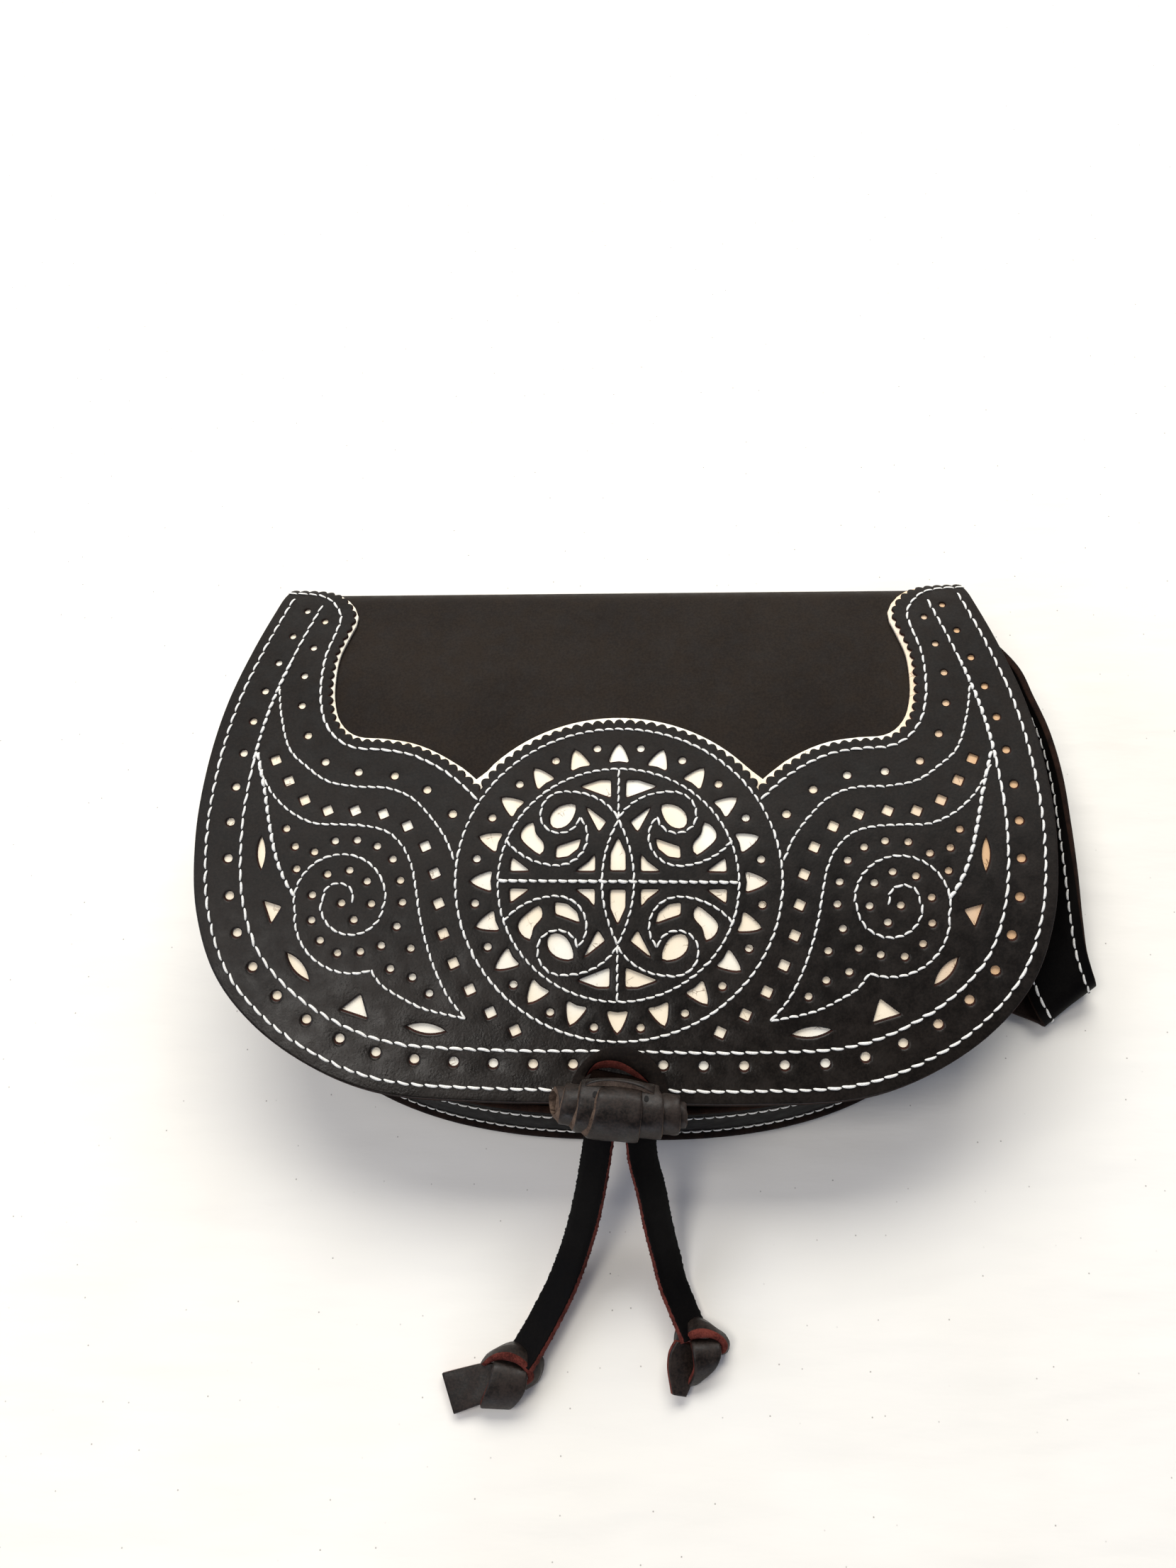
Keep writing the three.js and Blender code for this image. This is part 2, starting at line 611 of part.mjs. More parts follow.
function strap() {
  const low = BACK_HEIGHT + LEATHER + GAP * 2;
  const high = low + STRAP.width;
  const rows = [];
  const tabSteps = 3;
  for (let i = 0; i <= tabSteps; i += 1) {
    const y = STRAP_TAB.end - STRAP_TAB.long * (1 - i / tabSteps);
    rows.push([[onGusset(y, high), y, high], [onGusset(y, low), y, low]]);
  }
  const turnSteps = 8;
  const standing = STRAP_LOW + STRAP.width;
  for (let i = 0; i <= turnSteps; i += 1) {
    const angle = Math.PI - (rad(STRAP_TURN.sweep) * i) / turnSteps;
    const [x, y] = [
      STRAP_TURN.x + STRAP_TURN.radius * Math.cos(angle),
      STRAP_TURN.y + STRAP_TURN.radius * Math.sin(angle),
    ];
    const drop = (high - standing) * (1 - i / turnSteps);
    rows.push([[x, y, standing + drop], [x, y, STRAP_LOW + drop]]);
  }
  STRAP_SIDE.forEach((row) => rows.push([row.top, row.low]));
  const heading = rad(STRAP_UNDER.heading);
  const start = STRAP_SIDE.at(-1);
  const underSteps = 8;
  for (let i = 1; i <= underSteps; i += 1) {
    const t = (STRAP_UNDER.long * i) / underSteps;
    const move = ([x, y, z], extra) => [x + (t + extra) * Math.cos(heading), y + (t + extra) * Math.sin(heading), z];
    const square = i / underSteps; // the strip's rows turn until they lie along the back's edge
    rows.push([move(start.top, -5 * square), move(start.low, 4 * square)]);
  }
  const [lastTop, lastLow] = rows.at(-1);
  const fromY = (lastTop[1] + lastLow[1]) / 2;
  const half = STRAP.width / 2;
  const centre = fromY + 4;
  STRAP_RISE.forEach(({ x, z }) => rows.push([[x + 0.6, centre + half, z], [x - 0.6, centre - half, z]]));
  const risen = STRAP_RISE.at(-1).z;
  for (let z = risen + 4; z <= high; z += 4) {
    rows.push([
      [-onGusset(centre + half, z) - STRAP_BOW, centre + half, z],
      [-onGusset(centre - half, z) - STRAP_BOW, centre - half, z],
    ]);
  }
  return strip(rows.map(([a, b]) => [vector(a), vector(b)]), STRAP.thick);
}

// ---------- the assembly ----------

addPiece('back_and_flap', backAndFlap(), 'leather');
addPiece('flap_underlay', flapUnderlay(), 'cream');
addPiece('flap_overlay', flapOverlay(), 'leather');
addPiece('front_panel', frontPanel(), 'leather');
addPiece('gusset', gusset(), 'leather');
addPiece('closure_patch', closurePatch(), 'leather');
toggle();
addPiece('tail_left', thong(THONG_LEFT, THONG_ROLL), 'strap');
addPiece('tail_right', thong(THONG_RIGHT, -THONG_ROLL), 'strap');
KNOTS.forEach((place) => addPiece(`knot_${place.side}`, knot(place), 'toggle'));
addPiece('strap', strap(), 'strap');

// The origin is the middle of the bag's footprint, on the surface that it lies on.
bag.updateMatrixWorld(true);
const box = new THREE.Box3().setFromObject(bag, true);
const middle = box.getCenter(new THREE.Vector3());
const model = new THREE.Group();
bag.position.set(-middle.x, -middle.y, -box.min.z);
model.add(bag);

export default model;
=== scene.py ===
"""Half-moon (saddle) shoulder bag in waxed leather, lying closed on its back on a pale surface.

Working frame, in millimetres: x across the bag, y towards the top fold, z up from the surface, with the
medallion's centre over x = y = 0. Flat leather is (x, s, h): s runs along the leather from the medallion's
centre towards the fold, and h is the height above the flap's outer face.
"""
import math

import bpy
import numpy as np
from mathutils import Matrix, Vector
from mathutils.geometry import delaunay_2d_cdt
from mathutils.kdtree import KDTree


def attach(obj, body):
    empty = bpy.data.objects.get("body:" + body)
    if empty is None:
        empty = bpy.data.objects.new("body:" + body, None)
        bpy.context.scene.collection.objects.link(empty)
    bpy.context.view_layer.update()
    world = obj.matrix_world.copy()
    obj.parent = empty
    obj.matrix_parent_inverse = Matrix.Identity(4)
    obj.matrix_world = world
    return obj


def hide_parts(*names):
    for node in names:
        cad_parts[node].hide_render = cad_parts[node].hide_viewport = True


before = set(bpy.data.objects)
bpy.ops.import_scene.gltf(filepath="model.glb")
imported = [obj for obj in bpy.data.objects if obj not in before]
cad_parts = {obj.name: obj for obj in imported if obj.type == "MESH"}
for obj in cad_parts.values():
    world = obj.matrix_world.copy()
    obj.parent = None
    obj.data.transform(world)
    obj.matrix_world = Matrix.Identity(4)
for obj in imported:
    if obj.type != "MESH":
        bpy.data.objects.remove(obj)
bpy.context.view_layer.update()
RNG = np.random.default_rng(20)

# ---------- sizes, in millimetres ----------

SHIFT = np.array([-11.99, 19.55, 0.0])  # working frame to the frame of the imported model
LEATHER = 2.5
UNDERLAY = (0.3, 1.4)  # heights above the flap's outer face: low, high
OVERLAY = (1.45, 2.4)
PATCH = (2.45, 5.0)
STRAP_THICK = 2.4

FACE_HEIGHT = 43.8
BACK_HEIGHT = 3.3
FLAP_EDGE = -66.5
FACE_SLOPE = 7.8
FACE_RUNS = ((56.5, 0.0), (35.0, 8.6), (50.0, 9.0), (31.0, 4.4))  # run mm, degrees turned down

# the body's outline, a superellipse: half width, y of the widest place, reach below and above it, power
BODY_HALF, BODY_MIDDLE, BODY_DROP, BODY_RISE, BODY_POWER = 122.0, 20.0, 92.3, 150.0, 2.5
BACK_RIM = 1.6  # how far the back stands out past the body
GUSSET_LEAN, GUSSET_END, GUSSET_UNDER = 3.4, 92.0, 0.8  # lean inwards, y of its ends, gap under the flap
GUSSET_FOOT = BACK_HEIGHT + LEATHER + 0.3

FLAP_OUTLINE = (  # half of the flap's edge, from the middle of its free edge to the fold: x, s
    (0, -66.5), (40, -66.5), (72, -64.3), (92, -57.6), (111.5, -45.3), (125.6, -29.6), (133.4, -9.9),
    (136.4, 14), (136, 38), (133.2, 62), (127.8, 86), (121.2, 110),
)
CONTOUR = (  # stitch line that bounds a horn, from its outer top corner to the medallion: x, s
    (120.6, 112.1), (108, 110.2), (102.2, 106.3), (98.7, 99.7), (99.5, 91.9), (101.3, 82.9),
    (101.5, 72.8), (100.6, 64), (97.9, 55.2), (93, 48.9), (87, 45.8), (78, 45), (69, 43.4), (60.8, 39.8),
    (52.8, 34.4), (45.2, 27.2),
)
FLAME = (  # the line that splits the horn in two and runs into the wing
    (115.5, 68.8), (113.1, 57.7), (108.4, 45), (102, 38.8), (94.7, 33.8), (85.6, 31.9), (74.4, 31.2),
    (66.6, 27.9), (60.6, 22.1), (54.7, 14.1), (51.7, 7.4),
)
WING = (  # the wing's upper line, from the border to its tip
    (118.5, 39.6), (115.4, 34), (112, 29), (105.7, 23.2), (97.7, 19.4), (88.7, 18.9), (80, 18.3),
    (73.2, 16.2), (68.1, 11.3), (65.1, 5.3), (63.1, -3.2), (61.9, -9.5), (59.7, -17.8), (56.2, -27.1),
    (51.6, -35.5), (46.2, -41.6),
)
STEM = (  # the spiral's stem
    (119.2, 44.3), (114.9, 30.2), (111.9, 18.5), (108.5, 7.5), (104.7, -0.2), (101.6, -4.5),
)
# compass arcs: centre x, centre s, radius, from, to degrees
SPIRAL_ARCS = (  # from the spiral's middle outwards
    (88.0, -5.2, 5.0, 194, -14),
    (83.3, -6.3, 10.0, -4, -178),
    (87.4, -5.5, 14.5, 180, -20),
    (82.3, -9.1, 19.1, -6, -108),
)
HOOK = (  # from the spiral's end to the wing's tip
    (76.4, -27.1), (72.8, -31.6), (67.3, -35), (60, -38.5), (51.4, -40.6), (46.2, -41.6),
)
BAND_CURVE = (  # middle of the band between contour and flame, where its round holes lie
    (104.3, 97.8), (107.4, 79.5), (107.6, 65), (101.5, 46.5), (94, 38.8), (85.2, 36.8), (73.2, 35.5),
    (62.1, 30.6), (53.1, 22.2),
)
DIAMOND_CURVE = (  # places of the square holes between flame and wing
    (113, 41.2), (107.7, 33.7), (101.7, 27), (93.8, 23.4), (84.8, 23.4), (75.6, 22.3), (67.5, 18.2),
    (61.3, 11.5), (57.8, 2.8), (56.1, -6.7), (54.3, -16.1), (50.8, -25.2), (45.4, -33.2), (38.8, -40.1),
    (31.1, -45.4),
)
SPECKS = (  # small round holes in the spiral's field
    (106.6, 17.3), (103.2, 11.4), (96.8, 9.6), (90.4, 13.2), (83.3, 13.5), (76.7, 11.5), (71.4, 7.3),
    (68.6, 0.5), (67.6, -6.4), (102.1, 4.1), (85, 3.7), (92, 2.4), (79.2, 0.2), (96.4, -4.2),
    (86.9, -6.7), (77.4, -6.9), (96.1, -12.1), (82.7, -11.9), (69, -13.9), (93, -18.4), (87.3, -22.3),
    (80.1, -21.8), (73.6, -19.9), (64.3, -20.7), (70.4, -27), (63.4, -29.6), (57.9, -34.5),
)
ALMONDS = (  # from, to, width
    ((114.4, 14.9), (113.5, 3.8), 2.6), ((103.3, -22.2), (95.6, -30.9), 3.2),
    ((64.7, -44.3), (52.2, -45.8), 3.2),
)
TRIANGLES = (((111.9, -6), (105.9, -7.8), (108.9, -13.2)), ((85.4, -39.5), (79.2, -34.8), (76.7, -42.2)))
WINDOWS = {  # cut-outs of a quarter of the medallion
    "crown": ((11.7, 31.3), (6.1, 33.3), (2.8, 33.3), (2.7, 27.7)),
    "teardrop": (
        (21.3, 18.5), (21, 21.8), (18.3, 24.3), (14.1, 24.7), (15, 20.1), (17.3, 17.6), (20.1, 17.2),
    ),
    "shoulder": ((9.9, 23.7), (4.2, 19.1), (6.1, 16.2)),
    "leaf": ((27.4, 18.6), (26.5, 15.2), (23.8, 11.5), (24.5, 8.5), (26.9, 9.9), (30.6, 13.9), (29.9, 16.8)),
    "wing": ((19.1, 10.7), (15.6, 11.9), (12.1, 13.2), (12.9, 10.3), (15.9, 7.8), (19.3, 7.3)),
    "rim": ((33.3, 6.9), (28.3, 3.1), (33.6, 3)),
    "heel": ((12.6, 3.1), (8.9, 5.9), (7.5, 7.8), (7.5, 3.1)),
}
ROUND_WINDOWS = ("teardrop", "leaf")  # those with curved sides
PETAL = ((0, 13.6), (2.1, 8.8), (2.2, 3.2), (-2.2, 3.2), (-2.1, 8.8))
CURL_ARCS = (  # stitched curl of a quarter of the medallion, from the upright outwards
    (15.6, 11.5, 18.0, 150, 91),
    (17.2, 22.1, 7.5, 86, -10),
    (18.5, 21.9, 6.3, -20, -172),
)
RETURN_ARCS = (  # from the curl's tip to the medallion's ring
    (19.2, 14.4, 9.5, 138, 266),
    (18.8, 26.2, 21.3, 274, 323),
)
MEDALLION_INNER = 37.6
MEDALLION_RIM = (2.1, 51.0, 50.2)  # outer stitched ring: s of its centre, half width, half height
RAYS = 20
RAY_AT, RAY_RING, DOT_RING = 0.4, 43.1, 45.2  # s of their centre, radii of the rays and of the holes between
RAY_SIZE = (6.9, 6.3)  # length, width

HORN_TOP = 112.0  # s beyond which the horns have no holes or edge stitches
HOLE_PITCH = 12.1
HOLE_INSET, HOLE_STARTS = 11.4, (13.9, 13.3)  # border holes: from the edge, first hole to the right and left
EDGE_ROW, INNER_ROW = 4.4, 15.6  # the border's rows of stitches, from the edge

# pitch, width and slant of the rows of stitches
BOLD = (4.3, 0.86, 6.0)  # border
HEAVY = (3.3, 1.15, 7.0)  # stem, and the border beside it
CONTOUR_ROW = (3.9, 0.84, 6.0)
FINE = (2.95, 0.72, 7.0)  # figures
RING_ROW = (3.3, 0.78, 6.0)  # round the medallion
BAR_ROW = (3.1, 1.05, 6.0)  # across it
THREAD_ROUND, THREAD_LONG = 6, 8  # faces round a stitch and along it

# ---------- curves and outlines, as numpy arrays of (x, s) ----------


def lengths(points):
    """Distance along a polyline to each of its points."""
    return np.concatenate(([0.0], np.cumsum(np.linalg.norm(np.diff(points, axis=0), axis=1))))


def places(points, along, at):
    """Points at the distances at along a polyline, whose own points lie at the distances along."""
    return np.column_stack([np.interp(at, along, points[:, k]) for k in range(points.shape[1])])


def spread(points, step):
    """Points at an even spacing of about step along a polyline."""
    points = np.asarray(points, float)
    along = lengths(points)
    count = max(1, int(round(along[-1] / step)))
    return places(points, along, np.linspace(0.0, along[-1], count + 1))


def unit(v):
    """Vectors in rows, scaled to a length of 1."""
    return v / np.linalg.norm(v, axis=1, keepdims=True)


def smooth(points, step, closed=False):
    """Centripetal Catmull-Rom curve through points, evenly spaced at about step."""
    p = np.asarray(points, float)
    p = p[np.concatenate(([True], np.linalg.norm(np.diff(p, axis=0), axis=1) > 1e-6))]
    if closed:
        p = np.vstack([p[-1], p, p[0], p[1]])
    else:
        p = np.vstack([2 * p[0] - p[1], p, 2 * p[-1] - p[-2]])
    t = np.concatenate(([0.0], np.cumsum(np.sqrt(np.linalg.norm(np.diff(p, axis=0), axis=1)))))
    out = []
    samples = 24  # in each span
    for i in range(1, len(p) - 2):
        u = np.linspace(t[i], t[i + 1], samples, endpoint=False)[:, None]
        t0, t1, t2, t3 = t[i - 1 : i + 3]
        a1 = (t1 - u) / (t1 - t0) * p[i - 1] + (u - t0) / (t1 - t0) * p[i]
        a2 = (t2 - u) / (t2 - t1) * p[i] + (u - t1) / (t2 - t1) * p[i + 1]
        a3 = (t3 - u) / (t3 - t2) * p[i + 1] + (u - t2) / (t3 - t2) * p[i + 2]
        b1 = (t2 - u) / (t2 - t0) * a1 + (u - t0) / (t2 - t0) * a2
        b2 = (t3 - u) / (t3 - t1) * a2 + (u - t1) / (t3 - t1) * a3
        out.append((t2 - u) / (t2 - t1) * b1 + (u - t1) / (t2 - t1) * b2)
    out.append(p[-2][None])
    line = spread(np.vstack(out), step)
    return line[:-1] if closed else line


def normals_of(points, closed=False):
    """Unit normals to the left of a polyline, mitred at corners up to twice the distance."""
    before = np.roll(points, 1, axis=0)
    after = np.roll(points, -1, axis=0)
    if not closed:
        before[0] = points[0] - (points[1] - points[0])
        after[-1] = points[-1] + (points[-1] - points[-2])

    def left(d):
        d = d / np.maximum(np.linalg.norm(d, axis=1, keepdims=True), 1e-9)
        return np.column_stack([-d[:, 1], d[:, 0]])

    a, b = left(points - before), left(after - points)
    m = a + b
    m /= np.maximum(np.linalg.norm(m, axis=1, keepdims=True), 1e-9)
    return m / np.maximum(np.sum(m * b, axis=1, keepdims=True), 0.5)


def offset(points, distance, closed=False):
    """A polyline moved to its left."""
    points = np.asarray(points, float)
    return points + normals_of(points, closed) * np.asarray(distance).reshape(-1, 1)


def mirrored(points):
    """A line mirrored across x = 0 and turned end for end."""
    return (np.asarray(points, float) * (-1, 1))[::-1]


def compass_line(arcs, step=4.0):
    """Points along arcs that follow one another, about step apart."""
    points = []
    for x, s, radius, start, end in arcs:
        count = round(abs(math.radians(end - start)) * radius / step)
        angles = np.radians(np.linspace(start, end, count))
        points += list(zip(x + radius * np.cos(angles), s + radius * np.sin(angles)))
    return points


def circle(x, s, radius, count, start=0.0):
    """A closed outline of count points about (x, s)."""
    a = np.linspace(0, 2 * np.pi, count, endpoint=False) + start
    return np.column_stack([x + radius * np.cos(a), s + radius * np.sin(a)])


def almond(a, b, width):
    """A pointed oval from a to b."""
    a, b = np.array(a, float), np.array(b, float)
    d = (b - a) / np.linalg.norm(b - a)
    n = np.array([-d[1], d[0]])
    t = np.linspace(0, 1, 9)[:, None]
    bulge = np.sin(np.pi * t) ** 0.85 * width / 2
    side = a + (b - a) * t
    return np.vstack([(side + n * bulge)[:-1], (side - n * bulge)[::-1][:-1]])


def soft_loop(corners, radius=0.5):
    """A closed outline whose corners are each rounded a little."""
    c = np.asarray(corners, float)
    out = []
    for i in range(len(c)):
        a, b, d = c[i - 1], c[i], c[(i + 1) % len(c)]
        u, v = a - b, d - b
        lu, lv = np.linalg.norm(u), np.linalg.norm(v)
        cut = min(radius, lu / 3, lv / 3)
        p, q = b + u / lu * cut, b + v / lv * cut
        out += [p, (p + q + 2 * b) / 4, q]
    return np.array(out)


def widened(loop, distance):
    """A closed outline grown all round."""
    return offset(loop, -distance if area(loop) > 0 else distance, True)


def area(loop):
    """Area of a closed outline, positive if it runs anticlockwise."""
    x, y = loop[:, 0], loop[:, 1]
    return 0.5 * np.sum(x * np.roll(y, -1) - np.roll(x, -1) * y)


# ---------- the bent profile ----------


def profile_parts():
    """The bent leather from the flap's free edge round to the back: its rows, the fold's two s, the back's y.

    A row is start s, y, z, slope angle and bend in radians per mm.
    """
    angle = math.radians(FACE_SLOPE)
    s, y, z = FLAP_EDGE, FLAP_EDGE * math.cos(angle), FACE_HEIGHT + FLAP_EDGE * math.sin(angle)
    rows = []

    def advance(run, turn):
        nonlocal s, y, z, angle
        k = -turn / run
        rows.append((s, y, z, angle, k))
        if k == 0:
            y, z = y + run * math.cos(angle), z + run * math.sin(angle)
        else:
            y += (math.sin(angle + k * run) - math.sin(angle)) / k
            z -= (math.cos(angle + k * run) - math.cos(angle)) / k
        s, angle = s + run, angle + k * run

    for run, turn in FACE_RUNS:
        advance(run, math.radians(turn))
    radius = (z - BACK_HEIGHT) / (1 + math.cos(angle))
    turn = math.pi + angle
    fold = (s, s + radius * turn)
    advance(radius * turn, turn)
    start = y
    advance(250.0, 0.0)  # the back, flat on its run
    return np.array(rows), fold, start


PROFILE, FOLD, BACK_START = profile_parts()  # FOLD: s where the fold begins and ends


def bend(x, s, h):
    """(x, s, h) on flat leather to (x, y, z): along the arc of the profile, then h along its normal."""
    x, s, h = np.broadcast_arrays(np.asarray(x, float), np.asarray(s, float), np.asarray(h, float))
    row = PROFILE[np.clip(np.searchsorted(PROFILE[:, 0], s, side="right") - 1, 0, len(PROFILE) - 1)]
    run = s - row[..., 0]
    k = row[..., 4]
    a0 = row[..., 3]
    a = a0 + k * run
    flat = np.abs(k) < 1e-9
    safe = np.where(flat, 1.0, k)
    y = row[..., 1] + np.where(flat, run * np.cos(a0), (np.sin(a) - np.sin(a0)) / safe)
    z = row[..., 2] + np.where(flat, run * np.sin(a0), -(np.cos(a) - np.cos(a0)) / safe)
    return np.stack([x, y - h * np.sin(a), z + h * np.cos(a)], axis=-1)


def face_height(y):
    """Height of the flap's outer face over y, read off the profile."""
    s = np.linspace(FLAP_EDGE, FOLD[0], 400)
    p = bend(0, s, 0)
    return np.interp(y, p[:, 1], p[:, 2])


# ---------- materials ----------


def colour(code):
    """sRGB hex to linear RGBA."""
    v = np.array([int(code[i : i + 2], 16) for i in (1, 3, 5)]) / 255
    lin = np.where(v <= 0.04045, v / 12.92, ((v + 0.055) / 1.055) ** 2.4)
    return (*[float(c) for c in lin], 1.0)


def give(tree, node, sockets):
    """Sockets of a node, each given a value or a link."""
    for key, value in sockets.items():
        if isinstance(value, bpy.types.NodeSocket):
            tree.links.new(value, node.inputs[key])
        else:
            node.inputs[key].default_value = value


def add(tree, kind, sockets=None, **props):
    """A node of a kind, with its properties and sockets set."""
    node = tree.nodes.new("ShaderNode" + kind)
    for key, value in props.items():
        setattr(node, key, value)
    give(tree, node, sockets or {})
    return node


def ramp(tree, source, *stops):
    """A colour ramp: stops are (position, hex)."""
    node = add(tree, "ValToRGB", {"Fac": source})
    elements = node.color_ramp.elements
    for i, (at, code) in enumerate(stops):
        e = elements[i] if i < 2 else elements.new(at)
        e.position = at
        e.color = colour(code)
    return node.outputs["Color"]


def spread_value(tree, source, low, high, to_low=0, to_high=1):
    """Maps a value from one range to another."""
    return add(tree, "MapRange", {0: source, 1: low, 2: high, 3: to_low, 4: to_high}).outputs[0]


def worked(tree, operation, a, b):
    """Two values added or multiplied."""
    return add(tree, "Math", {0: a, 1: b}, operation=operation).outputs[0]


def blended(tree, share, a, b):
    """Colour a where share is 0, and b where it is 1."""
    return add(tree, "Mix", {"Factor": share, 6: a, 7: b}, data_type="RGBA").outputs[2]


def voronoi(tree, vector, size, feature, **props):
    """Cells of size millimetres."""
    return add(tree, "TexVoronoi", {"Vector": vector, "Scale": mm(size)}, feature=feature, **props).outputs


def material(name):
    """A new material: itself, its node tree, its shader and the object coordinates."""
    m = bpy.data.materials.new(name)
    m.use_nodes = True
    tree = m.node_tree
    tree.nodes.clear()
    shader = add(tree, "BsdfPrincipled")
    add(tree, "OutputMaterial", {0: shader.outputs[0]})
    return m, tree, shader, add(tree, "TexCoord").outputs["Object"]


def mm(count):
    """Noise scale for features of count millimetres on object coordinates in metres."""
    return 1000.0 / count


def noise(tree, vector, size, detail, rough, stretch=None):
    """Fractal noise with features of size millimetres."""
    if stretch is not None:
        vector = add(tree, "Mapping", {"Vector": vector, "Scale": stretch}).outputs[0]
    sockets = {"Vector": vector, "Scale": mm(size), "Detail": detail, "Roughness": rough}
    return add(tree, "TexNoise", sockets).outputs[0]


def bumps(tree, *layers):
    """Chained bump nodes: layers are (height socket, strength, distance in mm)."""
    normal = None
    for height, strength, distance in layers:
        sockets = {"Height": height, "Strength": strength, "Distance": distance / 1000}
        if normal is not None:
            sockets["Normal"] = normal
        normal = add(tree, "Bump", sockets).outputs[0]
    return normal


def waxed_leather(name, dark, light, rough, shine=0.05, grain=1.0, rubbed=0.0):
    """Aniline-dyed, waxed calf: cloudy brown-black from hand dyeing, fine pores, dull wax sheen.

    rubbed is how much smoother the wax is low on the flap, where the hand opens it, than at the fold.
    """
    m, tree, bsdf, at = material(name)
    cloud = noise(tree, at, 38, 3, 0.55)
    fine = noise(tree, at, 5, 4, 0.6)
    cloudy = spread_value(tree, worked(tree, "ADD", cloud, fine), 0.75, 1.25)
    dust = spread_value(tree, noise(tree, at, 0.8, 2, 0.7), 0.35, 0.65, -0.4, 0.4)
    pores = voronoi(tree, at, 0.7, "SMOOTH_F1")["Distance"]
    wrinkle = noise(tree, at, 1.6, 5, 0.65)
    wave = noise(tree, at, 14, 2, 0.5)
    wax = spread_value(tree, fine, 0.35, 0.65, *rough)
    height = add(tree, "SeparateXYZ", {0: at}).outputs[1]
    worn = spread_value(tree, height, -0.03, 0.08, -rubbed / 2, rubbed / 2)
    give(tree, bsdf, {
        "Base Color": ramp(tree, worked(tree, "ADD", cloudy, dust), (0.0, dark), (1.0, light)),
        "Roughness": worked(tree, "ADD", wax, worn),
        "Normal": bumps(tree, (wave, 0.25, 1.0), (wrinkle, 0.22 * grain, 0.12), (pores, 0.25 * grain, 0.06)),
        "Specular IOR Level": shine,
    })
    return m


def raw_leather(name, dark, light, size=0.5, shine=0.12):
    """Cut leather edge or flesh side: matt, fibrous, uneven brown where the dye hasn't gone through."""
    m, tree, bsdf, at = material(name)
    fibre = noise(tree, at, size, 4, 0.7)
    patch = noise(tree, at, 4, 2, 0.5)
    uneven = spread_value(tree, worked(tree, "ADD", fibre, patch), 0.75, 1.25)
    give(tree, bsdf, {
        "Base Color": ramp(tree, uneven, (0.0, dark), (1.0, light)), "Roughness": 0.85,
        "Normal": bumps(tree, (fibre, 0.6, 0.25)), "Specular IOR Level": shine,
    })
    return m


def cream_leather(name):
    """Undyed vegetable-tan split: pale, warm in patches, faint nap, a few cracks; darker and tan towards the
    right as painted shade of the deep holes there.
    """
    m, tree, bsdf, at = material(name)
    tone = noise(tree, at, 30, 2, 0.5)
    nap = noise(tree, at, 0.4, 4, 0.7)
    pale = ramp(tree, spread_value(tree, tone, 0.4, 0.6), (0.0, "#fff0d4"), (1.0, "#fffaea"))
    side = add(tree, "SeparateXYZ", {0: at}).outputs[0]
    # painted shade: the cream turns darker and tan towards the right, where its holes lie in shade
    painted_shade_right = blended(tree, spread_value(tree, side, 0.07, 0.102), pale, colour("#dfb68a"))
    near = spread_value(tree, voronoi(tree, at, 2.6, "DISTANCE_TO_EDGE")["Distance"], 0.015, 0.05, 1, 0)
    where = spread_value(tree, noise(tree, at, 5, 3, 0.6), 0.56, 0.66, 0, 0.75)
    cracked = blended(tree, worked(tree, "MULTIPLY", near, where), painted_shade_right, colour("#6b4a2c"))
    give(tree, bsdf, {"Base Color": cracked, "Roughness": 0.8, "Normal": bumps(tree, (nap, 0.35, 0.1))})
    return m


def thread_material(name):
    """Waxed linen thread, twisted: off-white, faint twist lines."""
    m, tree, bsdf, at = material(name)
    twist = noise(tree, at, 0.35, 3, 0.6)
    thread = ramp(tree, twist, (0.35, "#d9d5c9"), (0.6, "#fbfaf5"))
    give(tree, bsdf, {"Base Color": thread, "Roughness": 0.7, "Normal": bumps(tree, (twist, 0.5, 0.12))})
    return m


def plain(name, code, rough):
    """Matt, one colour."""
    m, tree, bsdf, _ = material(name)
    give(tree, bsdf, {"Base Color": colour(code), "Roughness": rough})
    return m


LEATHER_M = waxed_leather("waxed leather, dyed black-brown", "#1b1511", "#28211b", (0.5, 0.66), 0.06)
ORNAMENT_M = waxed_leather(
    "waxed leather of the ornament", "#14110e", "#211c18", (0.46, 0.6), shine=0.19, grain=2.4, rubbed=0.46)
STRAP_M = waxed_leather("strap leather, black grain side", "#060505", "#0c0a09", (0.5, 0.62))
TOGGLE_M = waxed_leather("worn leather of toggle and knots", "#110d0a", "#2c231e", (0.36, 0.62), 0.24, 1.8)
PATCH_M = waxed_leather("leather of the closure patch", "#120e0c", "#1e1814", (0.52, 0.66), 0.05)
EDGE_M = raw_leather("raw cut edge, red-brown", "#3a1611", "#74382f")
DARK_EDGE_M = raw_leather("edge stained dark", "#0e0b0a", "#241a15")
HOLE_EDGE_M = raw_leather("cut edge in the holes, dark red-brown", "#1c0e0a", "#3d211a")
# partly painted shade: the brown raw edge is coloured darker than its own brown, for the shade under the
# flap's overhang
BROWN_EDGE_M = raw_leather("raw cut edge, brown", "#160c08", "#2f1d14")
FLESH_M = raw_leather("flesh side, dark brown", "#100a08", "#231711", 0.8)
CREAM_M = cream_leather("natural leather under the cut-outs")
THREAD_M = thread_material("waxed linen thread, off-white")
TOGGLE_EDGE_M = raw_leather("cut edge of the toggle, brown", "#33271f", "#6a584b", 0.6)
LIP_EDGE_M = raw_leather("cut end of the toggle, pale grey-brown", "#4b3e35", "#8a786a", 0.5)
# painted shade: near-black leather without sheen, for the toggle strip's root in the gap above the lip
SHADE_M = raw_leather("toggle strip in painted shade, nearly black", "#080504", "#130c09", 0.5, 0.0)
# painted shade: near-black discs laid on the leather for the shade inside needle holes and the slit's ends
HOLE_SHADE_M = plain("needle hole", "#070504", 0.9)

# ---------- meshes ----------


def placed(name, data):
    """An object of the scene that shows data."""
    obj = bpy.data.objects.new(name, data)
    bpy.context.scene.collection.objects.link(obj)
    return obj


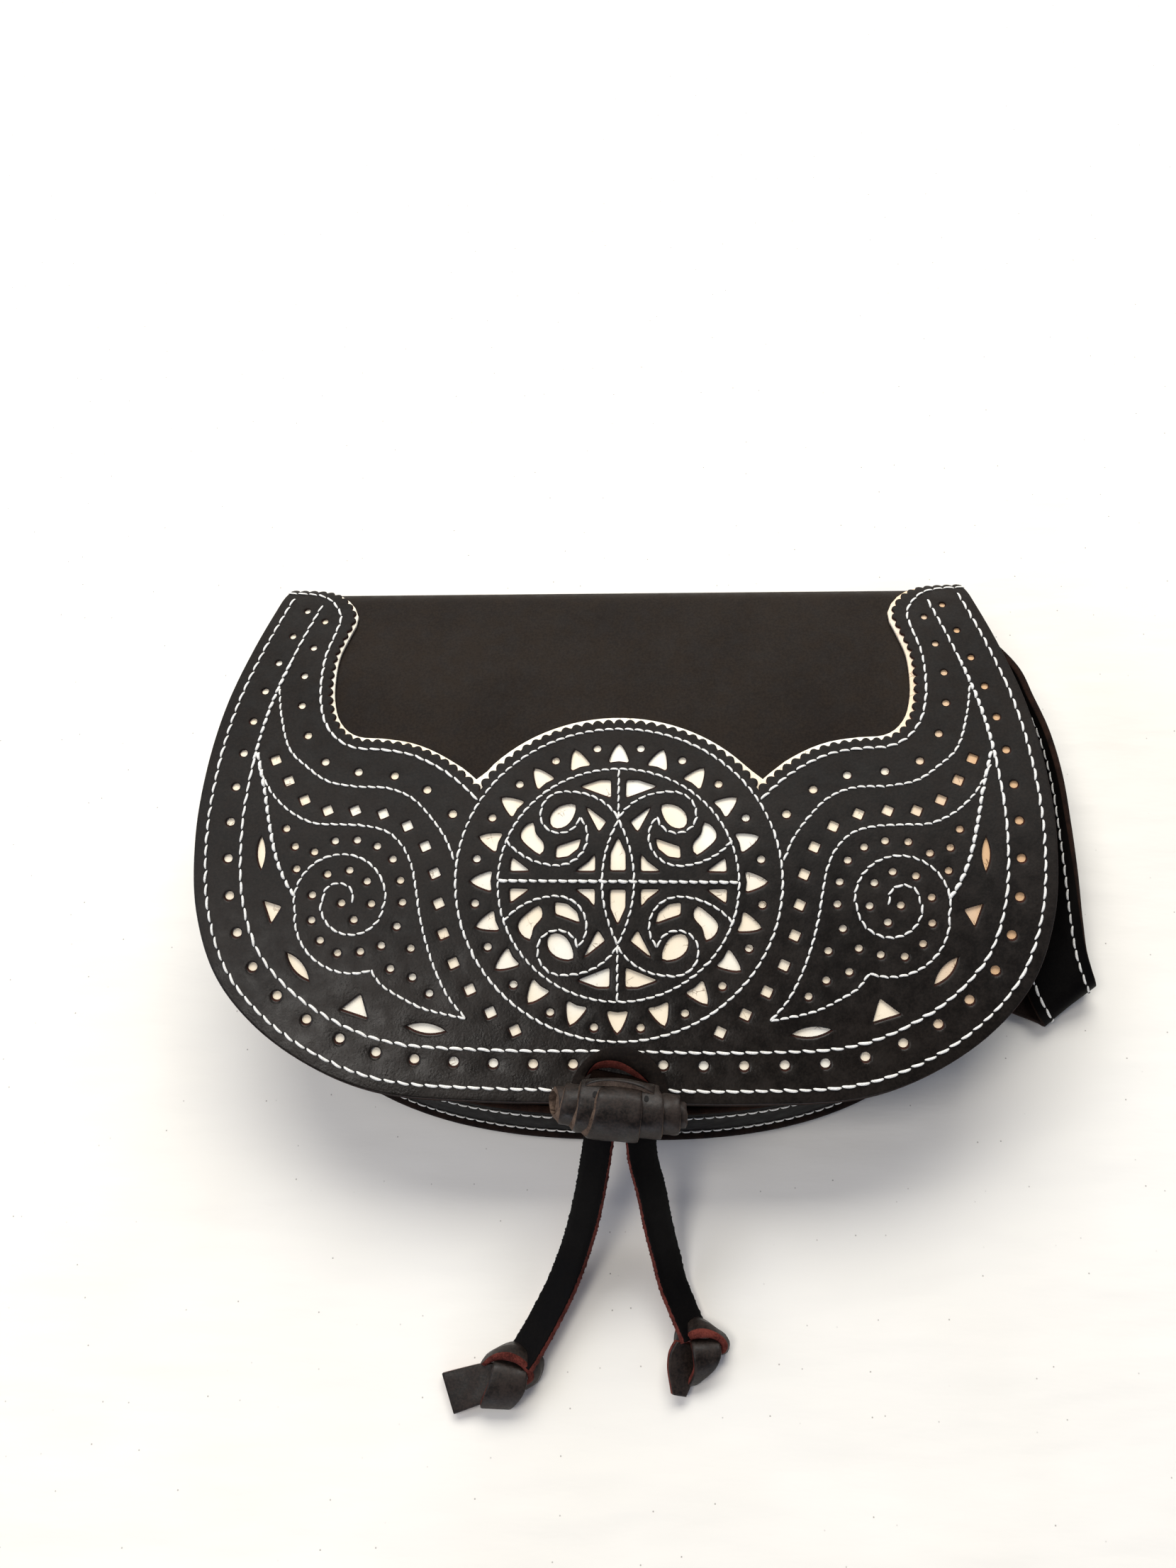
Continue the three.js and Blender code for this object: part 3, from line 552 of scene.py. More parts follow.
def build(name, verts, groups, materials):
    """An object from vertices in mm of the working frame and groups of (face array, material index)."""
    mesh = bpy.data.meshes.new(name)
    co = ((np.asarray(verts, float) + SHIFT) * 0.001).astype(np.float32)
    groups = [(np.asarray(f, np.int32), i) for f, i in groups if len(f)]
    totals = np.concatenate([np.full(len(f), f.shape[1], np.int32) for f, _ in groups])
    index = np.concatenate([f.ravel() for f, _ in groups])
    mesh.vertices.add(len(co))
    mesh.vertices.foreach_set("co", co.ravel())
    mesh.loops.add(len(index))
    mesh.loops.foreach_set("vertex_index", index)
    mesh.polygons.add(len(totals))
    mesh.polygons.foreach_set("loop_start", np.concatenate(([0], np.cumsum(totals)[:-1])).astype(np.int32))
    slots = np.concatenate([np.full(len(f), i, np.int32) for f, i in groups])
    mesh.polygons.foreach_set("material_index", slots)
    mesh.polygons.foreach_set("use_smooth", np.full(len(totals), True))
    for m in materials:
        mesh.materials.append(m)
    mesh.update(calc_edges=True)
    mesh.validate()
    return placed(name, mesh)


def inside(points, loops):
    """Even-odd test of points against closed loops."""
    a = np.vstack(loops)
    b = np.vstack([np.roll(l, -1, axis=0) for l in loops])
    result = np.zeros(len(points), bool)
    chunk = 400  # points at a time, to save memory
    for i in range(0, len(points), chunk):
        p = points[i : i + chunk, None, :]
        crosses = (a[None, :, 1] > p[..., 1]) != (b[None, :, 1] > p[..., 1])
        with np.errstate(divide="ignore", invalid="ignore"):
            x = a[None, :, 0] + (p[..., 1] - a[None, :, 1]) / (b - a)[None, :, 1] * (b - a)[None, :, 0]
        result[i : i + chunk] = (np.sum(crosses & (p[..., 0] < x), axis=1) % 2) == 1
    return result


def filler(loops, pitch_x, rows):
    """Grid points inside loops and clear of their lines."""
    every = np.vstack(loops)
    tree = KDTree(len(every))
    for i, (x, s) in enumerate(every):
        tree.insert((x, s, 0), i)
    tree.balance()
    x = np.arange(every[:, 0].min(), every[:, 0].max(), pitch_x)
    grid = np.stack(np.meshgrid(x, rows), axis=-1).reshape(-1, 2)
    grid = grid[inside(grid, loops)]
    clear = min(pitch_x, float(np.min(np.diff(rows)))) * 0.45
    return np.array([p for p in grid if tree.find((p[0], p[1], 0))[2] > clear]).reshape(-1, 2)


def filled(loops, extra):
    """Triangles that fill closed loops with the extra points inside, indexed into loops then extra."""
    points = np.vstack([*loops, extra])
    edges, start = [], 0
    for l in loops:
        edges += [(start + i, start + (i + 1) % len(l)) for i in range(len(l))]
        start += len(l)
    verts, _, faces, origin, _, _ = delaunay_2d_cdt([Vector(p) for p in points], edges, [], 0, 1e-5)
    place = np.array([o[0] if o else -1 for o in origin])
    tris = np.array([f for f in faces if len(f) == 3], int)
    xy = np.array([[v.x, v.y] for v in verts])
    keep = inside(xy[tris].mean(axis=1), loops)
    tris = place[tris[keep]]
    tris = tris[(tris >= 0).all(axis=1)]
    p = points[tris]
    turn = np.cross(p[:, 1] - p[:, 0], p[:, 2] - p[:, 0])
    tris[turn < 0] = tris[turn < 0][:, ::-1]
    return tris


def rows_between(low, high, pitch):
    """Values of s for a sheet's grid, closer together round the fold."""
    fold_pitch = 2.4
    values = [low + pitch * 0.5]
    while values[-1] < high:
        at = values[-1]
        in_fold = FOLD[0] - 6 < at < FOLD[1] + 4
        values.append(at + (fold_pitch if in_fold else pitch))
    return np.array(values)


def sheet(name, outer, holes, low, high, materials, rim, pitch, hole_rim=None, lean=0.0):
    """Leather cut to an outline with holes: a face on top and below, and a rim round each outline.

    Each outline has the leather on its left. The rim is rows of (inset, height fraction from low to high,
    material index of the strip above the row), from the top face down to the bottom face. The holes' feet
    lean towards the fold by lean.
    """
    outer = outer if area(outer) > 0 else outer[::-1]
    holes = [h if area(h) < 0 else h[::-1] for h in holes]
    loops = [outer, *holes]
    rims = [rim] + [hole_rim or rim] * len(holes)
    top = [offset(l, r[0][0], True) for l, r in zip(loops, rims)]
    leans = [0.0] + [lean] * len(holes)
    bottom = [offset(l, r[-1][0], True) + (0, d) for l, r, d in zip(loops, rims, leans)]
    span = rows_between(outer[:, 1].min(), outer[:, 1].max(), pitch)
    extra = filler(top, pitch, span)
    verts, groups, start = [], [], 0
    top_index, bottom_index = [], []
    for l, r, d in zip(loops, rims, leans):
        n = len(l)
        for k, (inset, share, _) in enumerate(r):
            p = offset(l, inset, True) + (0, d * (1 - share))
            verts.append(np.column_stack([p, np.full(n, low + (high - low) * share)]))
        i = np.arange(n)
        j = (i + 1) % n
        for k in range(len(r) - 1):
            a, b = start + k * n, start + (k + 1) * n
            groups.append((np.column_stack([a + i, b + i, b + j, a + j]), r[k + 1][2]))
        top_index.append(start + i)
        bottom_index.append(start + (len(r) - 1) * n + i)
        start += n * len(r)
    m = len(extra)
    verts.append(np.column_stack([extra, np.full(m, high)]))
    verts.append(np.column_stack([extra, np.full(m, low)]))
    top_index = np.concatenate(top_index + [start + np.arange(m)])
    bottom_index = np.concatenate(bottom_index + [start + m + np.arange(m)])
    groups.append((top_index[filled(top, extra)], 0))
    groups.append((bottom_index[filled(bottom, extra)][:, ::-1], len(materials) - 1))
    flat = np.vstack(verts)
    return build(name, bend(flat[:, 0], flat[:, 1], flat[:, 2]), groups, materials)


def swept(name, rings, materials, band_of=None):
    """A skin over rings of equal size (rings, points, 3); band_of gives each strip's material index."""
    count, n = rings.shape[:2]
    i = np.arange(count - 1)[:, None]
    j = np.arange(n)[None, :]
    k = (j + 1) % n
    up = (i + 1) * n
    quads = np.stack([i * n + j, i * n + k, up + k, up + j], axis=-1)
    bands = np.zeros(n, int) if band_of is None else np.asarray(band_of)
    groups = [(quads[:, bands == b].reshape(-1, 4), int(b)) for b in np.unique(bands)]
    end = int(bands.max())
    last = (count - 1) * n
    fan = np.arange(1, n - 1)
    groups.append((np.column_stack([np.zeros_like(fan), fan + 1, fan]), end))
    groups.append((np.column_stack([np.full_like(fan, last), last + fan, last + fan + 1]), end))
    return build(name, rings.reshape(-1, 3), groups, materials)


# ---------- flap, underlay and ornament ----------


def flap_edge(inset, step):
    """Right half of the flap's edge, from the middle of its free edge to the fold, moved in."""
    line = offset(smooth(FLAP_OUTLINE, step), inset)
    line[0, 0] = 0.0
    return line


def scalloped(line, pitch, depth):
    """A line cut with round teeth that stand out by depth: the root of a sine's size along the line."""
    fine = spread(line, pitch / 6)
    along = lengths(fine)
    count = max(1, round(along[-1] / pitch))
    wave = np.abs(np.sin(np.pi * along / along[-1] * count)) ** 0.6
    return offset(fine, depth * wave)


def ornament_loop(inset, past, step, teeth=None):
    """Whole outline of the ornament: the flap's edge, the horns and the contour between them."""
    horn = offset(smooth(CONTOUR, step), -past)
    horn[:, 0] -= 1.5 * np.exp(-((horn[:, 1] - 102) / 9) ** 2)  # the margin is wider at the horn's shoulder
    horn = outside_medallion(horn, past)
    crown = rim_line(past + (0 if teeth else 0.3), step)
    crown = crown[crown[:, 1] > horn[-1, 1] + 0.8]
    if teeth:
        pitch, depth = teeth
        horn, crown = scalloped(horn, pitch, -depth), scalloped(crown, pitch, -depth)
    side = flap_edge(inset, step)
    side = side[side[:, 1] < horn[0, 1] - 1.5]
    return np.vstack([mirrored(side)[:-1], side, horn, crown, mirrored(horn)])


def rim_line(past, step=1.0):
    """The medallion's outer ring, widened by past, from its right side over its top."""
    centre, wide, high = MEDALLION_RIM
    a = np.linspace(-np.pi / 2, 1.5 * np.pi, int(2 * np.pi * wide / step))
    return np.column_stack([(wide + past) * np.cos(a), centre + (high + past) * np.sin(a)])


def outside_medallion(line, past=0.0):
    """The part of a line outside the medallion's outer ring, widened by past."""
    centre, wide, high = MEDALLION_RIM
    return line[np.hypot(line[:, 0] / (wide + past), (line[:, 1] - centre) / (high + past)) > 1]


def in_medallion(points):
    """Points drawn about (0, 0) put in the medallion, a little flattened and raised."""
    return np.asarray(points, float) * (1, 0.985) + (0, 0.8)


def ray(angle, r, length, width):
    """An ogive cut-out that points out from the medallion's centre, with a nearly flat foot."""
    t = np.linspace(0, 1, 7)
    half = np.concatenate([[(0.0, -0.44), (0.45, -0.47), (0.85, -0.5), (0.98, -0.46)],
                           np.column_stack([(1 - t) ** 0.72 * (1 + 0.15 * t), -0.38 + 0.88 * t])])
    half[:, 0] *= width / 2
    half[:, 1] *= length
    loop = np.vstack([half, (half * (-1, 1))[::-1][1:-1]])
    c, s = math.cos(angle), math.sin(angle)
    out = np.array([s, c])
    across = np.array([c, -s])
    return (r + loop[:, 1:]) * out + loop[:, :1] * across


def quarter_turns(loops):
    """Loops of one quarter mirrored across both axes."""
    return [np.asarray(l, float) * (a, b) for l in loops for a in (1, -1) for b in (1, -1)]


def sides(lines):
    """Lines of the right side, and the same mirrored to the left."""
    return [np.asarray(line, float) * (a, 1) for line in lines for a in (1, -1)]


def hole(x, s):
    """Round hole of the borders: 3.1 mm wide, smaller towards the horns' tops."""
    return circle(x, s, 1.55 - 0.5 * min(max((s + 10) / 120, 0), 1), 14)


def row_of(line, start, pitch):
    """Points along a line from a start, a pitch apart, below the horns' top."""
    along = lengths(line)
    row = places(line, along, np.arange(start, along[-1], pitch))
    return row[row[:, 1] < HORN_TOP]


def cut_outs():
    """Every hole of the ornament."""
    shapes = [smooth(w, 1.3, True) if name in ROUND_WINDOWS else soft_loop(w) for name, w in WINDOWS.items()]
    windows = quarter_turns([widened(shape, 0.3) for shape in shapes])
    petals = [widened(soft_loop(PETAL), 0.2) * (1, sign) for sign in (1, -1)]
    middle = [in_medallion(loop) for loop in windows + petals]
    rays, dots = [], []
    for k in range(RAYS):
        a = k * 2 * math.pi / RAYS
        rays.append(ray(a, RAY_RING, *RAY_SIZE) + (0, RAY_AT))
        a += math.pi / RAYS
        dots.append(circle(DOT_RING * math.sin(a), RAY_AT + DOT_RING * math.cos(a), 1.3, 12))
    parts = [almond(*row) for row in ALMONDS]
    parts += [soft_loop(t, 0.6) for t in TRIANGLES]
    parts += [hole(x, s) for x, s in spread(smooth(BAND_CURVE, 1.0), HOLE_PITCH)]
    parts += [soft_loop(circle(x, s, 2.25, 4, math.radians(20)), 0.4) for x, s in DIAMOND_CURVE]
    parts += [circle(x, s, 1.25, 12) for x, s in SPECKS]
    edge = flap_edge(HOLE_INSET, 0.5)
    border = []
    for side, start in zip((1, -1), HOLE_STARTS):
        border += [hole(side * x, s) for x, s in row_of(edge, start, HOLE_PITCH)]
    return middle + rays + dots + border + sides(parts)


def make_flap():
    """Back and flap, one piece of leather bent round the fold."""
    side = flap_edge(0, 3.0)
    top = np.array([[119.6, FOLD[0] + 24]])  # the leather's side about halfway round the fold
    y = np.linspace(BACK_START - 4, BODY_MIDDLE, 24)
    upper = np.column_stack([body_half(y, BACK_RIM), y])
    back = np.vstack([upper, body_lower(BACK_RIM, 50)[::-1][1:]])
    back[:, 1] = FOLD[1] + (BACK_START - back[:, 1])
    half = smooth(np.vstack([side[::3], top, back[::3], back[-1:]]), 3.0)
    half[0, 0] = half[-1, 0] = 0
    loop = np.vstack([mirrored(half)[:-1], half[:-1]])
    rim = [(0.7, 1.0, 0), (0.35, 0.94, 0), (0.08, 0.8, 0), (0.0, 0.6, 1), (0.0, 0.2, 1), (0.4, 0.0, 1)]
    return sheet("back_and_flap", loop, [], -LEATHER, 0.0, [LEATHER_M, DARK_EDGE_M, FLESH_M], rim, 5.0)


def make_underlay():
    """The cream layer, which shows through the ornament and as a thin margin round it."""
    loop = ornament_loop(0.9, 4.7, 3.0)
    loop[loop[:, 1] > 40, 0] -= 0.3  # hand-set, a little off: more cream shows on the right horn
    rim = [(0.15, 1.0, 0), (0.0, 0.8, 0), (0.0, 0.0, 0)]
    return sheet("cream_underlay", loop, [], *UNDERLAY, [CREAM_M, CREAM_M], rim, 6.0)


def make_overlay():
    """The pierced layer, with its scalloped inner edge."""
    loop = ornament_loop(0.4, 2.3, 2.0, (3.5, 1.7))
    rim = [(0.75, 1.0, 0), (0.4, 0.95, 0), (0.12, 0.8, 0), (0.0, 0.55, 1), (0.0, 0.0, 1)]
    hole_rim = [(0.8, 1.0, 0), (0.45, 0.93, 0), (0.15, 0.76, 0), (0.0, 0.52, 1), (0.0, 0.0, 1)]
    materials = [ORNAMENT_M, HOLE_EDGE_M]
    return sheet("pierced_ornament", loop, cut_outs(), *OVERLAY, materials, rim, 5.0, hole_rim, lean=0.7)


SLIT_TOP = smooth([
    (-9.6, -58.6), (-8.3, -56.2), (-6.2, -54.3), (-2.6, -53.6), (1.2, -54.1), (5.4, -56.2), (9.2, -59.2),
    (11.1, -61.8),
], 0.8)


def make_patch():
    """Half-round patch with its arc slit."""
    a = np.radians(np.linspace(0, 180, 40))
    middle, foot, radius = 0.7, -64.2, 14.7
    dome = np.column_stack([middle + radius * np.cos(a), foot + radius * np.sin(a)])
    loop = np.vstack([dome, [[-14.0, -66.0], [15.4, -66.0]]])
    t = np.linspace(0, np.pi, len(SLIT_TOP))[1:-1]
    lower = SLIT_TOP[1:-1] - np.column_stack([0 * t, 4.6 * np.sin(t)])
    slit = np.vstack([SLIT_TOP[::-1], lower])
    rim = [(0.3, 1.0, 0), (0.08, 0.94, 0), (0.0, 0.86, 1), (0.0, 0.0, 1)]
    slit_rim = [(0.1, 1.0, 0), (0.0, 0.9, 1), (0.0, 0.5, 1), (0.0, 0.0, 1)]
    return sheet("closure_patch", loop, [slit], *PATCH, [PATCH_M, DARK_EDGE_M], rim, 2.5, slit_rim)


def make_slit_wall():
    """The slit's raw far lip, which slopes down towards the thongs."""
    t = np.linspace(0, 1, len(SLIT_TOP))
    reach = 2.0 * np.sin(np.pi * t) ** 0.35 + 0.2
    rows = [bend(SLIT_TOP[:, 0] - 0.3 * reach * (2 * t - 1), SLIT_TOP[:, 1] - reach * share, PATCH[1] - drop)
            for share, drop in ((0.0, 0.02), (0.12, 0.12), (0.5, 0.7), (0.9, 1.6), (1.0, 2.2))]
    verts = np.concatenate(rows)
    n = len(SLIT_TOP)
    grid = np.arange(len(verts)).reshape(len(rows), n)
    quads = np.stack([grid[:-1, :-1], grid[1:, :-1], grid[1:, 1:], grid[:-1, 1:]], axis=-1).reshape(-1, 4)
    return build("slit_wall", verts, [(quads, 0)], [EDGE_M])


# ---------- stitches ----------


def capsule(length, width, height):
    """A thread's visible bight: an oval rod, bowed a little, whose ends taper and dip.

    Rings of points (x along, y across, z up).
    """
    u = np.linspace(-1, 1, THREAD_LONG + 1)
    size = np.sqrt(np.clip(1 - np.abs(u) ** 3, 0.015, 1))
    lift = height * (0.5 - 0.7 * u ** 4)
    bow = 0.13 * width * (1 - 2 * u ** 2)
    a = np.linspace(0, 2 * np.pi, THREAD_ROUND, endpoint=False)
    x = np.repeat((u * length / 2)[:, None], THREAD_ROUND, axis=1)
    y = size[:, None] * np.cos(a) * width / 2 - bow[:, None]
    z = lift[:, None] + size[:, None] * np.sin(a) * height / 2
    return np.stack([x, y, z], axis=-1)


def on_flap(line, height):
    """A line of flat leather as points over the bent flap, with the face's normal at each."""
    fine = spread(line, 0.5)
    points = bend(fine[:, 0], fine[:, 1], height)
    return points, bend(fine[:, 0], fine[:, 1], height + 1.0) - points


def stitch_places(points, ups, pitch):
    """Centre, forward, side and up of each stitch, evenly spaced along a line in space."""
    along = lengths(points)
    count = max(1, int(round(along[-1] / pitch)))
    step = along[-1] / count
    middle = (np.arange(count) + 0.5) * step
    forward = unit(places(points, along, middle + step * 0.4) - places(points, along, middle - step * 0.4))
    side = unit(np.cross(unit(places(ups, along, middle)), forward))
    return places(points, along, middle), forward, side, np.cross(forward, side), step


def stitched(name, runs):
    """Stitches along runs of (points, normals, pitch, width, slant in degrees), with needle holes between,
    drawn as flat dark discs: painted shade of the holes.
    """
    ring = np.arange(THREAD_ROUND)
    after = (ring + 1) % THREAD_ROUND
    at = np.arange(THREAD_LONG)[:, None] * THREAD_ROUND
    quads = np.stack([at + ring, at + after, at + THREAD_ROUND + after, at + THREAD_ROUND + ring], axis=-1)
    quads = quads.reshape(-1, 4)
    hexagon = np.linspace(0, 2 * np.pi, 6, endpoint=False)[None, :, None]
    bodies, pits = [], []
    for points, ups, pitch, width, slant in runs:
        centre, forward, side, up, step = stitch_places(points, ups, pitch)
        body = capsule(step * 0.99, width, width * 0.6).reshape(1, -1, 3)
        turn = np.radians(-slant + RNG.normal(0, 2.0, len(centre)))[:, None]
        f = forward * np.cos(turn) + side * np.sin(turn)
        g = side * np.cos(turn) - forward * np.sin(turn)
        size = 1 + RNG.normal(0, 0.05, (len(centre), 1, 1))
        shape = body[..., :1] * f[:, None] + body[..., 1:2] * g[:, None] + body[..., 2:] * up[:, None]
        bodies.append(centre[:, None] + size * shape)
        pit = centre + forward * step / 2 + up * 0.04
        pits.append(pit[:, None] + 0.5 * width * (
            np.cos(hexagon) * forward[:, None] + np.sin(hexagon) * side[:, None]))
    bodies, pits = np.concatenate(bodies), np.concatenate(pits)
    n, m = bodies.shape[:2]
    stitch_faces = (np.arange(n)[:, None, None] * m + quads[None]).reshape(-1, 4)
    halves = np.array([[0, 1, 2, 3], [0, 3, 4, 5]])
    pit_faces = (n * m + np.arange(len(pits))[:, None, None] * 6 + halves[None]).reshape(-1, 4)
    verts = np.vstack([bodies.reshape(-1, 3), pits.reshape(-1, 3)])
    return build(name, verts, [(stitch_faces, 0), (pit_faces, 1)], [THREAD_M, HOLE_SHADE_M])


def flap_runs(lines, kind):
    """Runs of one kind of stitch on the ornament's top."""
    return [(*on_flap(line, OVERLAY[1]), *kind) for line in lines]


def border_runs():
    """Rows of longer stitches: along the flap's edge, inside its round holes, and along the contour."""
    edge = flap_edge(EDGE_ROW, 1.0)
    edge = edge[edge[:, 1] < HORN_TOP]
    inner = flap_edge(INNER_ROW, 1.0)
    high = inner[(inner[:, 1] > 78) & (inner[:, 1] < 114.5)]
    inner = outside_medallion(inner[inner[:, 1] < HORN_TOP])
    middle = inner[(inner[:, 1] > 41) & (inner[:, 1] < 80)]
    low = inner[inner[:, 1] < 43]
    runs = flap_runs([np.vstack([mirrored(edge)[:-1], edge])], BOLD)
    runs += flap_runs(sides([high, low]), BOLD) + flap_runs(sides([middle]), HEAVY)
    return runs + flap_runs(sides([outside_medallion(smooth(CONTOUR, 1.0))]), CONTOUR_ROW)


def figure_runs():
    """Fine stitches of the horns and wings; the stem's are heavier."""
    lines = [smooth(line, 0.8) for line in (FLAME, WING, compass_line(SPIRAL_ARCS), HOOK)]
    return flap_runs(sides(lines), FINE) + flap_runs(sides([smooth(STEM, 0.8)]), HEAVY)


def medallion_runs():
    """Circles, cross, lens and scrolls of the medallion."""
    t = np.linspace(-1, 1, 30)
    lines = [circle(0, 0, MEDALLION_INNER, 200)[np.arange(201) % 200]]
    for sign in (1, -1):
        lines.append(np.array([[0.0, sign * 20.0], [0.0, sign * MEDALLION_INNER]]))
        lines.append(np.column_stack([sign * 5.0 * (1 - t ** 2), 20 * t]))
    lines += quarter_turns([smooth(compass_line(arcs, 2.5), 0.6) for arcs in (CURL_ARCS, RETURN_ARCS)])
    bar = np.array([[-MEDALLION_INNER, 0.8], [MEDALLION_INNER, 0.5]])
    runs = flap_runs([in_medallion(line) for line in lines], FINE)
    return runs + flap_runs([rim_line(0.0)], RING_ROW) + flap_runs([bar], BAR_ROW)


# ---------- body: front panel and gusset ----------


def body_half(y, grow=0.0):
    """Half width of the body's outline at y: a superellipse about the body's middle."""
    reach = np.where(y > BODY_MIDDLE, BODY_RISE, BODY_DROP) + grow
    share = np.clip(np.abs(y - BODY_MIDDLE) / reach, 0, 1)
    return (BODY_HALF + grow) * (1 - share ** BODY_POWER) ** (1 / BODY_POWER)


def body_lower(grow, count):
    """The right lower quarter of the body's outline, from its bottom to its widest place."""
    a = np.linspace(0, np.pi / 2, count)
    return np.column_stack([(BODY_HALF + grow) * np.sin(a) ** (2 / BODY_POWER),
                            BODY_MIDDLE - (BODY_DROP + grow) * np.cos(a) ** (2 / BODY_POWER)])


def body_line(grow, top):
    """The body's outline from its left top round the bottom to its right top."""
    y = np.linspace(BODY_MIDDLE, top, 30)[1:]
    half = np.vstack([body_lower(grow, 90), np.column_stack([body_half(y, grow), y])])
    return spread(np.vstack([mirrored(half)[:-1], half]), 2.5)


def gusset_point(line, share, inset):
    """Points on the gusset: share is 0 at its foot and 1 at its top edge, inset is from its outer face."""
    rim = face_height(line[:, 1]) - LEATHER - GUSSET_UNDER
    z = GUSSET_FOOT + (rim - GUSSET_FOOT) * share
    p = offset(line, inset + GUSSET_LEAN * share)
    return np.column_stack([p, z])


def make_gusset():
    """The side strip round the body, standing on the back."""
    line = body_line(0.0, GUSSET_END)
    section = [  # share of the height, inset from the outer face
        (0.0, 0.0), (0.25, 0.0), (0.6, 0.0), (0.95, 0.0), (0.99, 0.15), (1.0, 0.5), (1.0, 1.25), (1.0, 2.0),
        (0.99, 2.35), (0.95, 2.5), (0.5, 2.5), (0.0, 2.5),
    ]
    rings = np.stack([gusset_point(line, share, inset) for share, inset in section], axis=1)[:, ::-1]
    bands = [2, 2, 1, 1, 1, 1, 1, 0, 0, 0, 0, 0]
    return swept("gusset", rings, [STRAP_M, BROWN_EDGE_M, FLESH_M], bands)


def gusset_runs():
    """Two rows of stitches round the gusset, near its top edge and near its foot."""
    line = body_line(0.15, GUSSET_END)
    out = np.column_stack([-normals_of(line), np.zeros(len(line))])
    return [(gusset_point(line, share, 0.0), out, 3.3, 0.9, 4.0) for share in (0.87, 0.17)]


def make_front():
    """The front panel, which closes the body under the flap."""
    line = body_line(-(GUSSET_LEAN + LEATHER + 0.3), 84.0)
    top = -(LEATHER + 2.0)
    rim = [(0.4, 1.0, 0), (0.0, 0.8, 1), (0.0, 0.0, 1)]
    return sheet("front_panel", line, [], top - LEATHER, top, [LEATHER_M, BROWN_EDGE_M, FLESH_M], rim, 7.0)


# ---------- ribbons: thongs and strap ----------


def ribbon(name, edge_a, edge_b, thick, materials, step, corner=0.7, fray=0.0):
    """A flat strip between two edge lines, thick along its normal, with rounded edges.

    Materials: grain side, edges, flesh side. The grain side is on the side of along x across. Fibres push the
    cut edges out by 0 to fray mm, at random along the strip.
    """
    fine = smooth(np.hstack([edge_a, edge_b]), step)
    a, b = fine[:, :3], fine[:, 3:]
    width = np.linalg.norm(b - a, axis=1, keepdims=True)
    across = (b - a) / width
    normal = unit(np.cross(np.gradient((a + b) / 2, axis=0), across))
    half = thick / 2
    r = min(corner, half * 0.6)
    chance = np.random.default_rng(6)
    grain = [(r, half), (0.2, half - 0.15 * r), (0.0, half - r)]
    flesh = [(0.0, -half + r * 0.6), (0.25, -half)]
    shares = (0.25, 0.5, 0.75)
    spots = (  # distance from an edge or share of the width, height, and which of these
        [(w, h, "a") for w, h in grain[::-1]] + [(t, half, "share") for t in shares]
        + [(w, h, "b") for w, h in grain + flesh]
        + [(t, -half, "share") for t in shares[::-1]] + [(w, h, "a") for w, h in flesh[::-1]])
    ring = []
    for w, h, kind in spots:
        rough = fray * chance.random((len(a), 1)) ** 3 * (abs(h) < half - 0.05)
        if kind == "a":
            base = a + across * (w - rough)
        elif kind == "b":
            base = b - across * (w - rough)
        else:
            base = a + across * (width * w)
        ring.append(base + normal * h)
    rings = np.stack(ring, axis=1)[:, ::-1]
    heights = np.array([h for _, h, _ in spots])
    middle = (heights + np.roll(heights, -1)) / 2
    band = np.where(middle > half - r * 0.9, 0, np.where(middle < -half + 0.2, 2, 1))
    return swept(name, rings, materials, np.roll(band[::-1], -1))


THONG_WIDTHS = {"left": (8.8, 11.0), "right": (8.8, 9.9)}  # at the slit and at the knot
THONGS = {  # middle lines from the slit to the knot, x, y, z
    "left": (
        (-4.8, -67.4, 39), (-5.1, -74, 37), (-6.2, -81, 32.5), (-8, -90, 25.5), (-10.7, -100, 16.8),
        (-13.9, -109, 9.8), (-17.7, -118, 6.0), (-22.2, -126.5, 4.9), (-26.4, -133.8, 4.9),
        (-29.6, -138.5, 4.8),
    ),
    "right": (
        (6.8, -67.4, 39), (7.1, -74, 37), (7.8, -81, 32.5), (10.3, -90, 25.5), (12.4, -99.5, 16.8),
        (14.7, -108, 9.6), (16.9, -116, 5.7), (20.3, -124, 4.7), (23.4, -131, 4.6),
    ),
}


def make_thong(side, roll):
    """A thong: a middle line with a width that grows to the knot, turned about its length by roll degrees."""
    line = smooth(THONGS[side], 4.0)
    t = unit(np.gradient(line, axis=0))
    level = unit(np.column_stack([-t[:, 1], t[:, 0], np.zeros(len(t))]))
    up = np.cross(level, t)
    up *= np.sign(up[:, 2:])
    turn = np.radians(roll) * np.linspace(0.5, 1, len(line))[:, None]
    across = level * np.cos(turn) + up * np.sin(turn)
    half = np.linspace(*THONG_WIDTHS[side], len(line))[:, None] / 2
    a, b = line - across * half, line + across * half
    if np.cross(t, across)[:, 2].mean() < 0:
        a, b = b, a
    return ribbon(f"{side}_thong", a, b, 2.3, [STRAP_M, EDGE_M, EDGE_M], 0.7, corner=0.3, fray=0.35)


